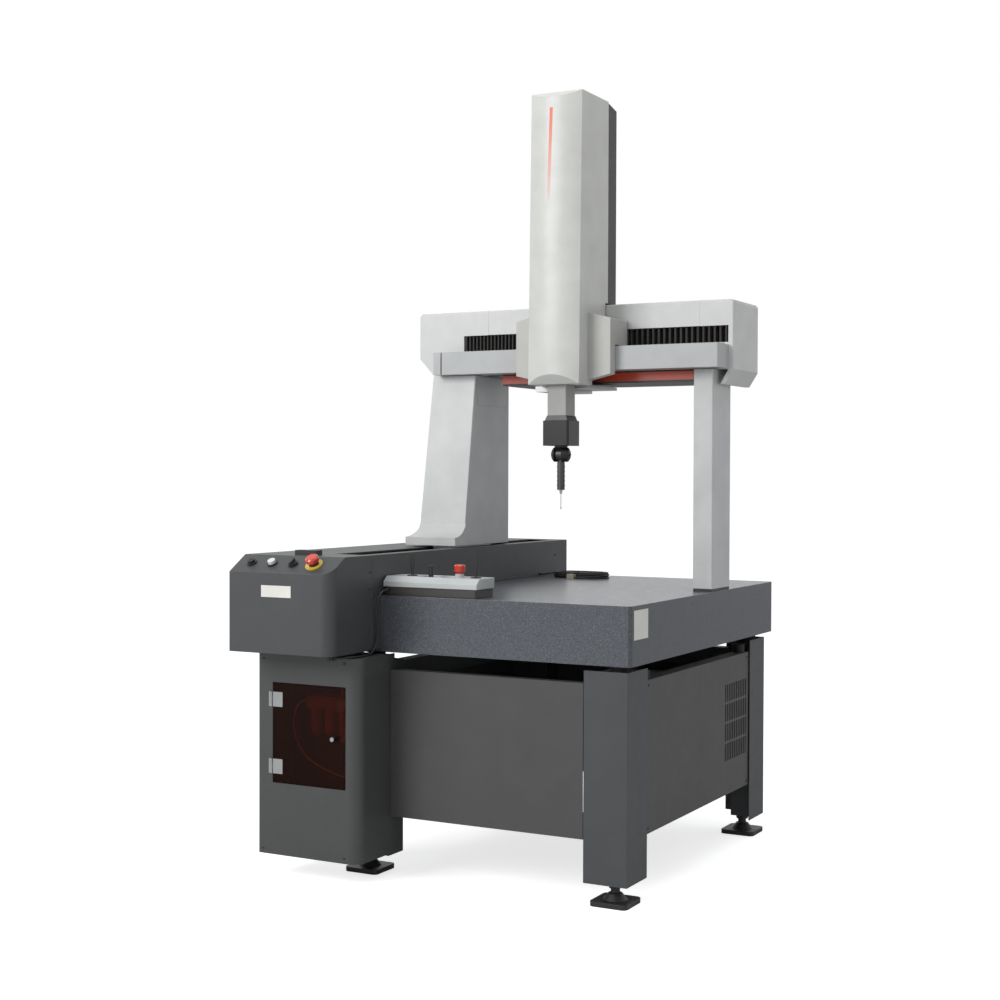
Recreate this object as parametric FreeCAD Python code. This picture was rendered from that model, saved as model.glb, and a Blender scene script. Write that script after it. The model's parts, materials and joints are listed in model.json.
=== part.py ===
import FreeCAD, Part
import math
import os

# Moving-bridge coordinate measuring machine with a granite table.
# Millimetres, +X along the bridge beam, -Y the operator's side, +Z up.
# The origin is on the floor, below the centre of the machine's outline.

Vec = FreeCAD.Vector

# ---------------------------------------------------------------- clearances
SLIDE_GAP = 0.3          # air gap of every sliding or turning pair
PIN_GAP = 0.05           # radial gap of a pin in its bore
SHEET = 2.5              # folded sheet metal of the stand and the covers
SKIN = 3.0               # moulded skin of the bridge covers
COVER_GAP = 5.0          # free space between a moving cover and a fixed one

# ---------------------------------------------------------------- stand
FOOT_X_LEFT, FOOT_X_RIGHT = -300.0, 444.0
FOOT_Y_FRONT, FOOT_Y_REAR = -397.0, 550.0
PAD_SIDE, PAD_T, PAD_CORNER = 104.0, 13.0, 14.0
PAD_CONE_R, PAD_CONE_TOP_R, PAD_CONE_H = 32.0, 18.0, 17.0
FOOT_H = 55.0            # floor to the underside of the posts
SPINDLE_R, JAM_NUT_R, JAM_NUT_H = 12.0, 19.0, 12.0
POST_LEN, POST_WALL = 533.0, 5.0
POST_D = 75.0            # posts, front to back
POST_W_RIGHT, POST_W_LEFT = 75.0, 125.0
POST_X_LEFT = -338.0     # left face of the left posts
POST_X_RIGHT = 493.2     # right face of the right posts
POST_Y_FRONT = -439.5    # front face of the front posts
POST_Y_REAR = 593.4      # rear face of the rear posts
RAIL_H, RAIL_D, RAIL_WALL = 60.0, 40.0, 3.0
RAIL_LOW_Z, RAIL_TOP_Z = 167.0, 504.2
SIDE_RAIL_INSET = 3.3    # the right panel lies this much behind its cover
LEG_COVER_W, LEG_COVER_D = 122.5, 128.5
LEG_COVER_LIP = 11.0     # the covers end this much above the posts
ISOLATOR_H, ISOLATOR_R = 26.1, 32.0
STOP_R, STOP_H = 17.0, 24.0
PANEL_T, PANEL_FLANGE = 1.5, 26.0
LOUVRE_ROWS, LOUVRE_SLOTS = 4, 12
LOUVRE_Y0, LOUVRE_Z0 = 268.0, 264.5
LOUVRE_PITCH_Y, LOUVRE_PITCH_Z = 15.4, 57.6
LOUVRE_SLOT_W, LOUVRE_SLOT_H = 7.5, 50.0

# ---------------------------------------------------------------- table
TABLE_W, TABLE_D, TABLE_T = 879.8, 1084.8, 153.8
TABLE_X0, TABLE_Y0 = -370.0, -455.4
TABLE_CHAMFER = 8.0
INSERT_R, INSERT_HOLE_R, INSERT_H = 8.0, 3.4, 18.0
INSERT_PITCH_X, INSERT_PITCH_Y = 220.0, 260.0
INSERT_X0, INSERT_Y0 = -100.0, -200.0

# ---------------------------------------------------------------- guide housing
HOUSING_X0, HOUSING_W = -555.2, 325.2
HOUSING_Y1 = 697.7       # rear end
HOUSING_RISE = 110.5     # top of the housing above the table
HOUSING_DROP = 146.6     # its underside below the table top
SEAM_Y = -500.0          # joint of the control box and the housing
SLOT_X0, SLOT_W = -350.0, 88.0
SLOT_Y0, SLOT_Y1 = -490.0, 650.0
SEAL_LIP, SEAL_W = 3.5, 14.0
BOX_FRONT_Y = -697.8
BOX_SLOPE_RUN, BOX_SLOPE_DROP = 69.4, 43.0
BOX_CORNER_R, BOX_CREASE_R = 35.0, 8.0
RAIL_BAR_W, RAIL_BAR_H = 60.0, 58.0
RAIL_BAR_Y0, RAIL_BAR_Y1 = -440.0, 615.0
DRIVE_BAR_W, DRIVE_BAR_H, DRIVE_BAR_DROP = 12.0, 20.0, 10.0
SCALE_T, SCALE_H = 2.0, 12.0

# ---------------------------------------------------------------- panel controls
CONTROL_X0, CONTROL_PITCH = -505.6, 67.3
CONTROL_UP_SLOPE = 40.8  # from the lower crease to the row of controls
BEZEL_R, BEZEL_H = 14.0, 4.0
BUTTON_R, BUTTON_H, BUTTON_TRAVEL = 10.5, 9.0, 3.0
KNOB_R, KNOB_H = 11.5, 14.0
KEY_R, KEY_H = 9.5, 11.0
ESTOP_COLLAR_R, ESTOP_COLLAR_H = 24.0, 3.5
ESTOP_HEAD_R, ESTOP_STEM_R, ESTOP_H = 18.0, 11.0, 27.0
ESTOP_TRAVEL = 5.0
ESTOP_SLEEVE_R, ESTOP_SLEEVE_H = 13.5, 8.5

# ---------------------------------------------------------------- air cabinet
CAB_X0, CAB_W = -531.2, 322.8
CAB_Y0 = -596.7
CAB_SIDE_Y1 = -417.4
CAB_Z0, CAB_H = 62.0, 546.0
CAB_CORNER_R = 35.0
DOOR_X0, DOOR_W = -484.5, 233.5
DOOR_Z0, DOOR_H = 259.5, 270.0
DOOR_T, DOOR_GAP = 5.0, 1.5
HINGE_R, HINGE_PIN_R, HINGE_H = 3.2, 1.5, 40.0
HINGE_LEAF, HINGE_LEAF_T = 32.0, 2.0
HINGE_MARGIN = 24.0
DOOR_PULL_R, DOOR_PULL_H = 6.0, 14.0
MANIFOLD_W, MANIFOLD_D, MANIFOLD_H = 140.0, 40.0, 34.0
MANIFOLD_X0, MANIFOLD_Y0, MANIFOLD_Z0 = -430.0, -520.0, 456.0
BOWL_R, BOWL_H, BOWL_COUNT = 19.0, 68.0, 3
GAUGE_R, GAUGE_H = 20.0, 24.0
HOSE_R = 3.0

# ---------------------------------------------------------------- bridge
LEFT_LEG_INNER_X = -244.7
LEFT_LEG_TOP_W, LEFT_LEG_BASE_W = 148.3, 173.0
LEFT_LEG_BACK_Y = 313.7
LEFT_LEG_TOP_Y, LEFT_LEG_KNEE_Y, LEFT_LEG_BASE_Y = 95.6, 37.0, -25.5
LEFT_LEG_GAP = 5.0       # plinth above the housing
PLINTH_H, FLARE_H = 26.0, 34.0
LEG_EDGE_R = 8.0
RIGHT_LEG_X0, RIGHT_LEG_W = 449.7, 58.3
RIGHT_LEG_Y0, RIGHT_LEG_D = 111.7, 143.6
AIR_PAD_H = 7.5
LEG_TOP_RISE = 626.8     # top of both legs above the table
CARRIAGE_Y0, CARRIAGE_L = 0.0, 250.0
CARRIAGE_WALL, CARRIAGE_FILM = 20.0, 3.0
NECK_GAP = 5.0
AIR_DISC_R, AIR_DISC_SIDE_R = 24.0, 17.0
DRIVE_W, DRIVE_L, DRIVE_H, DRIVE_MOTOR_R, DRIVE_MOTOR_H = 80.0, 120.0, 60.0, 28.0, 90.0
BEAM_X0, BEAM_X1 = -393.0, 540.0
BEAM_Y0, BEAM_D, BEAM_H = 185.0, 120.0, 125.0
COVER_X0, COVER_X1 = -471.4, 555.2
COVER_Y0, COVER_D, COVER_H = 146.0, 207.0, 197.3
COVER_R = 12.0
SEAM_LEFT_X, SEAM_RIGHT_X = -229.0, 453.5
LEFT_CHAMFER_W, LEFT_CHAMFER_H = 55.8, 59.3
WINDOW_X0, WINDOW_X1 = -314.0, 540.0
WINDOW_RISE, WINDOW_H = 76.3, 47.5
END_WALL, END_DROP, END_SLANT = 14.0, 41.7, 26.0
STRIP_Y0, STRIP_RISE, STRIP_H = 57.0, 1.3, 68.0
STRIP_X0, STRIP_X1 = -370.0, 541.0
STRIP_END_LEFT, STRIP_END_RIGHT, STRIP_JOINT = 25.0, 14.0, 3.5
TRAY_X0, TRAY_Y0, TRAY_H = -172.0, 133.0, 32.7
ACCENT_T, ACCENT_H = 3.0, 25.4
BRACE_W = 20.0           # cover braces on the ends of the beam
BRACKET_W, BRACKET_H = 30.0, 20.0
FOLDS_LEFT, FOLDS_RIGHT = 20, 18
BELLOWS_D, BELLOWS_FOLD, BELLOWS_GAP = 25.0, 9.0, 1.0

# ---------------------------------------------------------------- x carriage
COL_X0, COL_W = 1.6, 161.5
COL_FRONT_BOTTOM_Y, COL_FRONT_TOP_Y = -36.9, -20.8
COL_BULGE = 22.0
COL_BACK_Y = 158.1
COL_DROP = 41.4          # bottom of the column cover below the leg tops
COL_H = 831.7
COL_TOP_SLANT, COL_BOTTOM_SLANT = 16.0, 28.0
DUCT_D, DUCT_INSET = 59.4, 1.5
DUCT_CHAMFER = 14.0
WING_X, WING_FRONT_Y = 69.9, 22.0
WING_TOP_INNER, WING_TOP_OUTER = 164.4, 146.3
WING_BOTTOM_INNER, WING_BOTTOM_OUTER = 27.7, 11.7
LEDGE_GAP = 3.5          # carriage above the strip and below the window edge
SADDLE_X0, SADDLE_W = -40.0, 245.0
SADDLE_T, SADDLE_DROP = 20.0, 95.0
BACKBONE_T, BACKBONE_H = 8.0, 470.0
BACKBONE_INSET = 3.0
FOOT_PLATE_T, FOOT_PLATE_THIN = 16.0, 8.0
FOOT_PLATE_X0, FOOT_PLATE_Y1 = -18.0, 225.0

# ---------------------------------------------------------------- ram and head
RAM_X, RAM_Y, RAM_SIDE = 82.4, 15.0, 60.0
RAM_WALL = 6.0
RAM_LOW_Z, RAM_LEN = 1265.0, 795.0
BLOCK_H, BLOCK_SIDE = 60.0, 105.0
BLOCK_LOW_RISE, BLOCK_PITCH = 22.0, 245.0
BALANCE_ROD_R, BALANCE_ROD_LEN = 8.0, 680.0
ADAPTER_W, ADAPTER_D, ADAPTER_H = 82.0, 78.0, 72.0
ADAPTER_SHOULDER = 14.0
NECK_R, NECK_H = 19.0, 5.0
BALL_R, BALL_TOP, BALL_LOW = 29.0, 20.0, 21.0
FORK_GAP = 19.0
TILT_HUB_R, TILT_PIN_R = 19.0, 4.0
PROBE_R, PROBE_TOP_DROP, PROBE_LEN = 11.0, 21.7, 80.0
PROBE_RING_R, PROBE_RINGS = 11.7, 5
CARRIER_R, CARRIER_H = 5.0, 4.0
STYLUS_STEM_R, STYLUS_LEN, STYLUS_BALL_R = 1.0, 50.0, 2.5
STYLUS_BASE_R, STYLUS_BASE_H = 3.5, 7.0

# ---------------------------------------------------------------- pendant
PEND_X0, PEND_W = -224.0, 290.0
PEND_Y0, PEND_D = -452.0, 105.0
PEND_BASE_H, PEND_SKIRT_H, PEND_TOP_H = 24.0, 14.0, 14.0
PEND_INSET = 4.0
PEND_SLOPE = 17.0
PEND_WELL_X0, PEND_WELL_W = -142.0, 104.0
PEND_WELL_D, PEND_WELL_DEPTH, PEND_WELL_MARGIN = 62.0, 8.0, 14.0
STICK_R, STICK_H, STICK_HOLE_R, STICK_HOLE_H = 5.5, 71.8, 13.0, 10.0
STICK_LEFT_X, STICK_RIGHT_X, STICK_Y = -163.0, 35.0, -400.0
DIAL_X, DIAL_R, DIAL_H = -104.5, 7.0, 38.0
PEND_ESTOP_X, PEND_ESTOP_R, PEND_ESTOP_H, PEND_ESTOP_HEAD = -15.0, 15.0, 35.0, 19.0

# ---------------------------------------------------------------- cords
CORD_R = 2.75
LEAD_R = 2.0
GLAND_R, GLAND_L = 5.5, 12.0
CORD_ROUTE = [
    (-208.0, -460.0, 783.0), (-208.0, -471.0, 783.0), (-208.8, -482.3, 779.2),
    (-210.0, -491.7, 771.6), (-211.5, -498.0, 760.6), (-213.2, -500.6, 747.0),
    (-215.5, -499.0, 727.0), (-218.0, -493.5, 701.0), (-220.0, -488.0, 676.0),
    (-221.2, -486.5, 655.0), (-221.8, -490.5, 638.0), (-222.0, -500.0, 624.5),
    (-222.4, -514.0, 615.6), (-223.2, -532.0, 612.0), (-225.0, -558.0, 611.5),
    (-229.0, -588.0, 612.2), (-237.0, -616.0, 613.0), (-250.0, -641.0, 613.0),
]
LEAD_ROUTE = [
    (-226.0, 498.0, 774.0), (-216.0, 498.0, 774.0), (-205.0, 497.5, 775.4),
    (-194.0, 496.2, 778.4), (-184.0, 494.8, 781.0), (-174.0, 493.5, 781.9),
]
HANK_R = 14.0            # the bundle of the coiled lead
HANK_SIDES = 8
HANK_L, HANK_W = 188.0, 107.0
PLUG_X0, PLUG_Y0, PLUG_W, PLUG_D, PLUG_H = -95.0, 419.0, 23.0, 20.0, 14.0


# ================================================================ derived levels
POST_TOP = FOOT_H + POST_LEN
TABLE_Z0 = POST_TOP + ISOLATOR_H
TABLE_TOP = TABLE_Z0 + TABLE_T
TABLE_X1 = TABLE_X0 + TABLE_W
TABLE_Y1 = TABLE_Y0 + TABLE_D
HOUSING_X1 = HOUSING_X0 + HOUSING_W
HOUSING_TOP = TABLE_TOP + HOUSING_RISE
HOUSING_Z0 = TABLE_TOP - HOUSING_DROP
SLOT_X1 = SLOT_X0 + SLOT_W
SLOT_MID_X = SLOT_X0 + SLOT_W / 2
LEG_TOP = TABLE_TOP + LEG_TOP_RISE
BEAM_TOP = LEG_TOP + BEAM_H
BEAM_Y1 = BEAM_Y0 + BEAM_D
COVER_TOP = LEG_TOP + COVER_H
COVER_Y1 = COVER_Y0 + COVER_D
WINDOW_Z0 = LEG_TOP + WINDOW_RISE
WINDOW_Z1 = WINDOW_Z0 + WINDOW_H
STRIP_Z0 = LEG_TOP + STRIP_RISE
STRIP_Z1 = STRIP_Z0 + STRIP_H
TRAY_Z0 = LEG_TOP - TRAY_H
COL_X1 = COL_X0 + COL_W
COL_MID_X = COL_X0 + COL_W / 2
COL_Z0 = LEG_TOP - COL_DROP
COL_Z1 = COL_Z0 + COL_H
WING_X0 = COL_X0 - WING_X
WING_X1 = COL_X1 + WING_X
BACKBONE_Y1 = STRIP_Y0 - 1.0
BACKBONE_Y0 = BACKBONE_Y1 - BACKBONE_T
RAM_TOP = RAM_LOW_Z + RAM_LEN
ADAPTER_Z0 = RAM_LOW_Z - ADAPTER_SHOULDER - ADAPTER_H
NECK_Z1 = ADAPTER_Z0 - SLIDE_GAP
BALL_Z = ADAPTER_Z0 - NECK_H - BALL_TOP
PROBE_Z1 = BALL_Z - PROBE_TOP_DROP
PROBE_Z0 = PROBE_Z1 - PROBE_LEN
CARRIER_Z1 = PROBE_Z0 - SLIDE_GAP
STYLUS_Z1 = CARRIER_Z1 - CARRIER_H
CAB_X1 = CAB_X0 + CAB_W
CAB_Z1 = CAB_Z0 + CAB_H
DOOR_X1 = DOOR_X0 + DOOR_W
DOOR_Z1 = DOOR_Z0 + DOOR_H
PEND_X1 = PEND_X0 + PEND_W
PEND_Y1 = PEND_Y0 + PEND_D
PEND_BASE_TOP = TABLE_TOP + PEND_BASE_H
PEND_TOP = PEND_BASE_TOP + PEND_SKIRT_H + PEND_TOP_H


# ================================================================ helpers
def box(x0, x1, y0, y1, z0, z1):
    """Box between two corners."""
    return Part.makeBox(x1 - x0, y1 - y0, z1 - z0, Vec(x0, y0, z0))


def rod(radius, start, end):
    """Round bar from one point to another."""
    start, end = Vec(*start), Vec(*end)
    return Part.makeCylinder(radius, (end - start).Length, start, end - start)


def cone(r0, r1, start, height):
    """Upright truncated cone."""
    return Part.makeCone(r0, r1, height, Vec(*start), Vec(0, 0, 1))


def prism(points, sweep):
    """Closed polygon of points, swept by a vector."""
    corners = [Vec(*p) for p in points]
    return Part.Face(Part.makePolygon(corners + corners[:1])).extrude(Vec(*sweep))


def profile_xz(points, y0, y1):
    """Polygon in X and Z, swept from y0 to y1."""
    return prism([(x, y0, z) for x, z in points], (0, y1 - y0, 0))


def profile_yz(points, x0, x1):
    """Polygon in Y and Z, swept from x0 to x1."""
    return prism([(x0, y, z) for y, z in points], (x1 - x0, 0, 0))


def fuse(shapes):
    """One solid out of touching shapes."""
    whole = shapes[0]
    for shape in shapes[1:]:
        whole = whole.fuse(shape)
    return whole.removeSplitter()


def group(shapes):
    """Separate solids kept in one node."""
    return Part.makeCompound(shapes)


def upright_edges(shape, spots, tolerance=0.01):
    """Vertical edges that stand on the given (x, y) spots."""
    found = []
    for edge in shape.Edges:
        a, b = edge.Vertexes[0].Point, edge.Vertexes[-1].Point
        upright = abs(a.x - b.x) < tolerance and abs(a.y - b.y) < tolerance
        if upright and any(abs(a.x - x) < tolerance and abs(a.y - y) < tolerance for x, y in spots):
            found.append(edge)
    return found


def upper_rim(disc):
    """Upper circle of a round disc."""
    circles = [edge for edge in disc.Edges if len(edge.Vertexes) == 1]
    return max(circles, key=lambda edge: edge.CenterOfMass.z)


def rounded_box(x0, x1, y0, y1, z0, z1, radius):
    """Box whose four upright edges are rounded."""
    block = box(x0, x1, y0, y1, z0, z1)
    spots = [(x0, y0), (x1, y0), (x0, y1), (x1, y1)]
    return block.makeFillet(radius, upright_edges(block, spots))


def tube_path(points):
    """Straight runs joined by tangent arcs; prints the arc radii."""
    points = [Vec(*p) for p in points]
    edges, radii = [], []
    last = points[0]
    for before, corner, after in zip(points, points[1:], points[2:]):
        into, out = corner - before, after - corner
        half_turn = into.getAngle(out) / 2
        reach = 0.45 * min(into.Length, out.Length)
        start = corner - into.normalize() * reach
        end = corner + out.normalize() * reach
        radius = reach / math.tan(half_turn)
        middle_dir = (start + end) * 0.5 - corner
        to_arc = radius / math.cos(half_turn) - radius
        middle = corner + middle_dir.normalize() * to_arc
        edges.append(Part.LineSegment(last, start).toShape())
        edges.append(Part.Arc(start, middle, end).toShape())
        radii.append(radius)
        last = end
    edges.append(Part.LineSegment(last, points[-1]).toShape())
    return Part.Wire(edges), radii


def cord_tube(name, points, radius):
    """Round cord along a route, with its length, radii and volume printed."""
    path, radii = tube_path(points)
    start = Vec(*points[0])
    along = Vec(*points[1]) - start
    section = Part.Wire(Part.makeCircle(radius, start, along))
    solid = path.makePipeShell([section], True, True)
    expected = math.pi * radius * radius * path.Length
    print(f"{name}: length {path.Length:.1f}, smallest radius {min(radii):.1f},"
          f" volume ratio {solid.Volume / expected:.4f}")
    return solid


# ================================================================ stand
def foot_spots():
    """Centres of the four levelling feet."""
    return [(x, y) for x in (FOOT_X_LEFT, FOOT_X_RIGHT) for y in (FOOT_Y_FRONT, FOOT_Y_REAR)]


def post_boxes():
    """Outline (x0, x1, y0, y1) of each stand post."""
    left = (POST_X_LEFT, POST_X_LEFT + POST_W_LEFT)
    right = (POST_X_RIGHT - POST_W_RIGHT, POST_X_RIGHT)
    front = (POST_Y_FRONT, POST_Y_FRONT + POST_D)
    rear = (POST_Y_REAR - POST_D, POST_Y_REAR)
    return [xs + ys for xs in (left, right) for ys in (front, rear)]


def levelling_pads():
    """Square cast pads with a conical boss for the spindle."""
    pads = []
    for x, y in foot_spots():
        half = PAD_SIDE / 2
        plate = rounded_box(x - half, x + half, y - half, y + half, 0, PAD_T, PAD_CORNER)
        boss = cone(PAD_CONE_R, PAD_CONE_TOP_R, (x, y, PAD_T), PAD_CONE_H)
        pads.append(fuse([plate, boss]))
    return group(pads)


def levelling_screws():
    """Spindles that stand on the pads, each with its jam nut under the post."""
    screws = []
    for x, y in foot_spots():
        spindle = rod(SPINDLE_R, (x, y, PAD_T + PAD_CONE_H), (x, y, FOOT_H))
        nut = hexagon(x, y, JAM_NUT_R, FOOT_H - JAM_NUT_H, FOOT_H)
        screws.append(fuse([spindle, nut]))
    return group(screws)


def hexagon(x, y, radius, z0, z1):
    """Upright hexagonal bar."""
    turns = [math.radians(60 * k) for k in range(6)]
    ring = [(x + radius * math.cos(a), y + radius * math.sin(a), z0) for a in turns]
    return prism(ring, (0, 0, z1 - z0))


def stand_posts():
    """Square tubes with a closed foot plate."""
    posts = []
    for x0, x1, y0, y1 in post_boxes():
        w = POST_WALL
        inner = box(x0 + w, x1 - w, y0 + w, y1 - w, FOOT_H + 2 * w, POST_TOP)
        posts.append(box(x0, x1, y0, y1, FOOT_H, POST_TOP).cut(inner))
    return group(posts)


def rail_tube(x0, x1, y0, y1, z0, along_x):
    """Rectangular tube between two posts, open at both ends."""
    w = RAIL_WALL
    outer = box(x0, x1, y0, y1, z0, z0 + RAIL_H)
    if along_x:
        return outer.cut(box(x0, x1, y0 + w, y1 - w, z0 + w, z0 + RAIL_H - w))
    return outer.cut(box(x0 + w, x1 - w, y0, y1, z0 + w, z0 + RAIL_H - w))


def side_rail_x():
    """Outer faces of the left and right side rails."""
    return POST_X_LEFT, POST_X_RIGHT - SIDE_RAIL_INSET


def stand_rails():
    """Lower and upper rails between the posts."""
    inner_x0 = POST_X_LEFT + POST_W_LEFT
    inner_x1 = POST_X_RIGHT - POST_W_RIGHT
    inner_y0 = POST_Y_FRONT + POST_D
    inner_y1 = POST_Y_REAR - POST_D
    left_x, right_x = side_rail_x()
    rails = []
    for z0 in (RAIL_LOW_Z, RAIL_TOP_Z):
        rails.append(rail_tube(inner_x0, inner_x1, POST_Y_FRONT, POST_Y_FRONT + RAIL_D, z0, True))
        rails.append(rail_tube(inner_x0, inner_x1, POST_Y_REAR - RAIL_D, POST_Y_REAR, z0, True))
        rails.append(rail_tube(left_x, left_x + RAIL_D, inner_y0, inner_y1, z0, False))
        rails.append(rail_tube(right_x - RAIL_D, right_x, inner_y0, inner_y1, z0, False))
    return group(rails)


def corner_cover(y_outer, y_inward):
    """L-shaped cover round the outer corner of a right-hand post."""
    x1 = POST_X_RIGHT + SHEET
    x0 = x1 - LEG_COVER_W
    y1 = y_outer + y_inward * LEG_COVER_D
    z1 = POST_TOP + LEG_COVER_LIP
    far = y_outer + y_inward * SHEET
    face = box(x0, x1, min(y_outer, far), max(y_outer, far), FOOT_H, z1)
    side = box(x1 - SHEET, x1, min(y_outer, y1), max(y_outer, y1), FOOT_H, z1)
    return fuse([face, side])


def corner_covers():
    """Painted covers of the front right and rear right posts."""
    front = corner_cover(POST_Y_FRONT - SHEET, 1)
    rear = corner_cover(POST_Y_REAR + SHEET, -1)
    return group([front, rear])


def isolators():
    """Round rubber isolators between the post tops and the table."""
    pieces = []
    for x0, x1, y0, y1 in post_boxes():
        x, y = (x0 + x1) / 2, (y0 + y1) / 2
        flange = ISOLATOR_H / 4
        low = rod(ISOLATOR_R, (x, y, POST_TOP), (x, y, POST_TOP + flange))
        waist = rod(0.75 * ISOLATOR_R, (x, y, POST_TOP + flange), (x, y, TABLE_Z0 - flange))
        high = rod(ISOLATOR_R, (x, y, TABLE_Z0 - flange), (x, y, TABLE_Z0))
        pieces.append(fuse([low, waist, high]))
    return group(pieces)


def table_stops():
    """Rubber bump stops on the right-hand upper rail."""
    x = side_rail_x()[1] - RAIL_D / 2
    z = RAIL_TOP_Z + RAIL_H + PANEL_T
    ends = (POST_Y_FRONT + POST_D, POST_Y_REAR - POST_D)
    spots = (ends[0] + 2 * RAIL_D, ends[1] - 2 * RAIL_D)
    return group([rod(STOP_R, (x, y, z), (x, y, z + STOP_H)) for y in spots])


def front_panel():
    """Flat tray-shaped panel between the air cabinet and the front right leg."""
    x0 = CAB_X1 + DOOR_GAP
    x1 = POST_X_RIGHT + SHEET - LEG_COVER_W - DOOR_GAP
    y1 = POST_Y_FRONT
    y0 = y1 - PANEL_T
    z0, z1 = RAIL_LOW_Z - PANEL_T, RAIL_TOP_Z + RAIL_H + PANEL_T
    face = box(x0, x1, y0, y1, z0, z1)
    top = box(x0, x1, y0, y1 + PANEL_FLANGE, z1 - PANEL_T, z1)
    low = box(x0, x1, y0, y1 + PANEL_FLANGE, z0, z0 + PANEL_T)
    return fuse([face, top, low])


def louvre_slots(x0, x1):
    """Rows of upright ventilation slots."""
    slots = []
    for row in range(LOUVRE_ROWS):
        z0 = LOUVRE_Z0 + row * LOUVRE_PITCH_Z
        for k in range(LOUVRE_SLOTS):
            y0 = LOUVRE_Y0 + k * LOUVRE_PITCH_Y
            slots.append(box(x0, x1, y0, y0 + LOUVRE_SLOT_W, z0, z0 + LOUVRE_SLOT_H))
    return group(slots)


def right_panel():
    """Right side panel with the louvred air outlet near its rear edge."""
    x0 = side_rail_x()[1]
    x1 = x0 + PANEL_T
    y0 = POST_Y_FRONT - SHEET + LEG_COVER_D + DOOR_GAP
    y1 = POST_Y_REAR + SHEET - LEG_COVER_D - DOOR_GAP
    z0, z1 = RAIL_LOW_Z - PANEL_T, RAIL_TOP_Z + RAIL_H + PANEL_T
    face = box(x0, x1, y0, y1, z0, z1)
    top = box(x0 - RAIL_D, x1, y0, y1, z1 - PANEL_T, z1)
    low = box(x0 - PANEL_FLANGE, x1, y0, y1, z0, z0 + PANEL_T)
    return fuse([face, top, low]).cut(louvre_slots(x0 - PANEL_T, x1 + PANEL_T))


def rear_panels():
    """Plain rear and left panels."""
    z0, z1 = RAIL_LOW_Z, RAIL_TOP_Z + RAIL_H
    rear_x0 = POST_X_LEFT
    rear_x1 = POST_X_RIGHT + SHEET - LEG_COVER_W - DOOR_GAP
    rear = box(rear_x0, rear_x1, POST_Y_REAR, POST_Y_REAR + PANEL_T, z0, z1)
    left = box(POST_X_LEFT - PANEL_T, POST_X_LEFT, POST_Y_FRONT + POST_D, POST_Y_REAR, z0, z1)
    return group([rear, left])


def equipment_shelf():
    """Shelf on the lower side rails that carries the motion controller."""
    z0 = RAIL_LOW_Z + RAIL_H
    left_x, right_x = side_rail_x()
    y0 = LOUVRE_Y0 - 4 * RAIL_D
    y1 = POST_Y_REAR - POST_D
    return box(left_x, right_x, y0, y1, z0, z0 + SHEET)


def controller_unit():
    """Motion controller behind the louvre: a case with feet and a plug panel."""
    z0 = RAIL_LOW_Z + RAIL_H + SHEET
    x1 = side_rail_x()[1] - RAIL_D - 2 * COVER_GAP
    y0 = LOUVRE_Y0 - RAIL_D
    y1 = y0 + LOUVRE_SLOTS * LOUVRE_PITCH_Y + RAIL_D
    foot_h = 10.0
    case = box(x1 - 380, x1, y0, y1, z0 + foot_h, RAIL_TOP_Z - 2 * COVER_GAP)
    plugs = [box(x1 - 300 + 90 * k, x1 - 250 + 90 * k, y0 - 8, y0, z0 + 60, z0 + 90) for k in range(3)]
    feet = [rod(15, (x, y, z0), (x, y, z0 + foot_h))
            for x in (x1 - 350, x1 - 30) for y in (y0 + 30, y1 - 30)]
    return fuse([case] + plugs + feet)


# ================================================================ table
def insert_spots():
    """Grid of the threaded inserts."""
    return [(INSERT_X0 + i * INSERT_PITCH_X, INSERT_Y0 + j * INSERT_PITCH_Y)
            for i in range(3) for j in range(3)]


def granite_table():
    """Granite slab with chamfered edges and bores for the inserts."""
    slab = box(TABLE_X0, TABLE_X1, TABLE_Y0, TABLE_Y1, TABLE_Z0, TABLE_TOP)
    corners = [(TABLE_X1, TABLE_Y0), (TABLE_X1, TABLE_Y1)]
    slab = slab.makeChamfer(TABLE_CHAMFER, upright_edges(slab, corners))
    bores = [rod(INSERT_R, (x, y, TABLE_TOP - INSERT_H), (x, y, TABLE_TOP)) for x, y in insert_spots()]
    return slab.cut(group(bores))


def table_inserts():
    """Steel bushes with a tapped hole, flush with the table."""
    bushes = []
    for x, y in insert_spots():
        bush = rod(INSERT_R, (x, y, TABLE_TOP - INSERT_H), (x, y, TABLE_TOP))
        hole = rod(INSERT_HOLE_R, (x, y, TABLE_TOP - INSERT_H + INSERT_HOLE_R), (x, y, TABLE_TOP))
        bushes.append(bush.cut(hole))
    return group(bushes)


# ================================================================ guide housing
def y_guide_rail():
    """Guide bar on the left edge of the table."""
    half = RAIL_BAR_W / 2
    x0, x1 = SLOT_MID_X - half, SLOT_MID_X + half
    return box(x0, x1, RAIL_BAR_Y0, RAIL_BAR_Y1, TABLE_TOP, TABLE_TOP + RAIL_BAR_H)


def y_scale():
    """Glass scale of the Y axis, on the outer side of the guide bar."""
    x1 = SLOT_MID_X - RAIL_BAR_W / 2
    z0 = TABLE_TOP + SCALE_H / 2
    return box(x1 - SCALE_T, x1, RAIL_BAR_Y0, RAIL_BAR_Y1, z0, z0 + SCALE_H)


def y_drive_bar():
    """Drive bar on the table's left face, which the bridge's drive unit grips."""
    z1 = TABLE_TOP - DRIVE_BAR_DROP
    return box(TABLE_X0 - DRIVE_BAR_W, TABLE_X0, RAIL_BAR_Y0, RAIL_BAR_Y1, z1 - DRIVE_BAR_H, z1)


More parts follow.
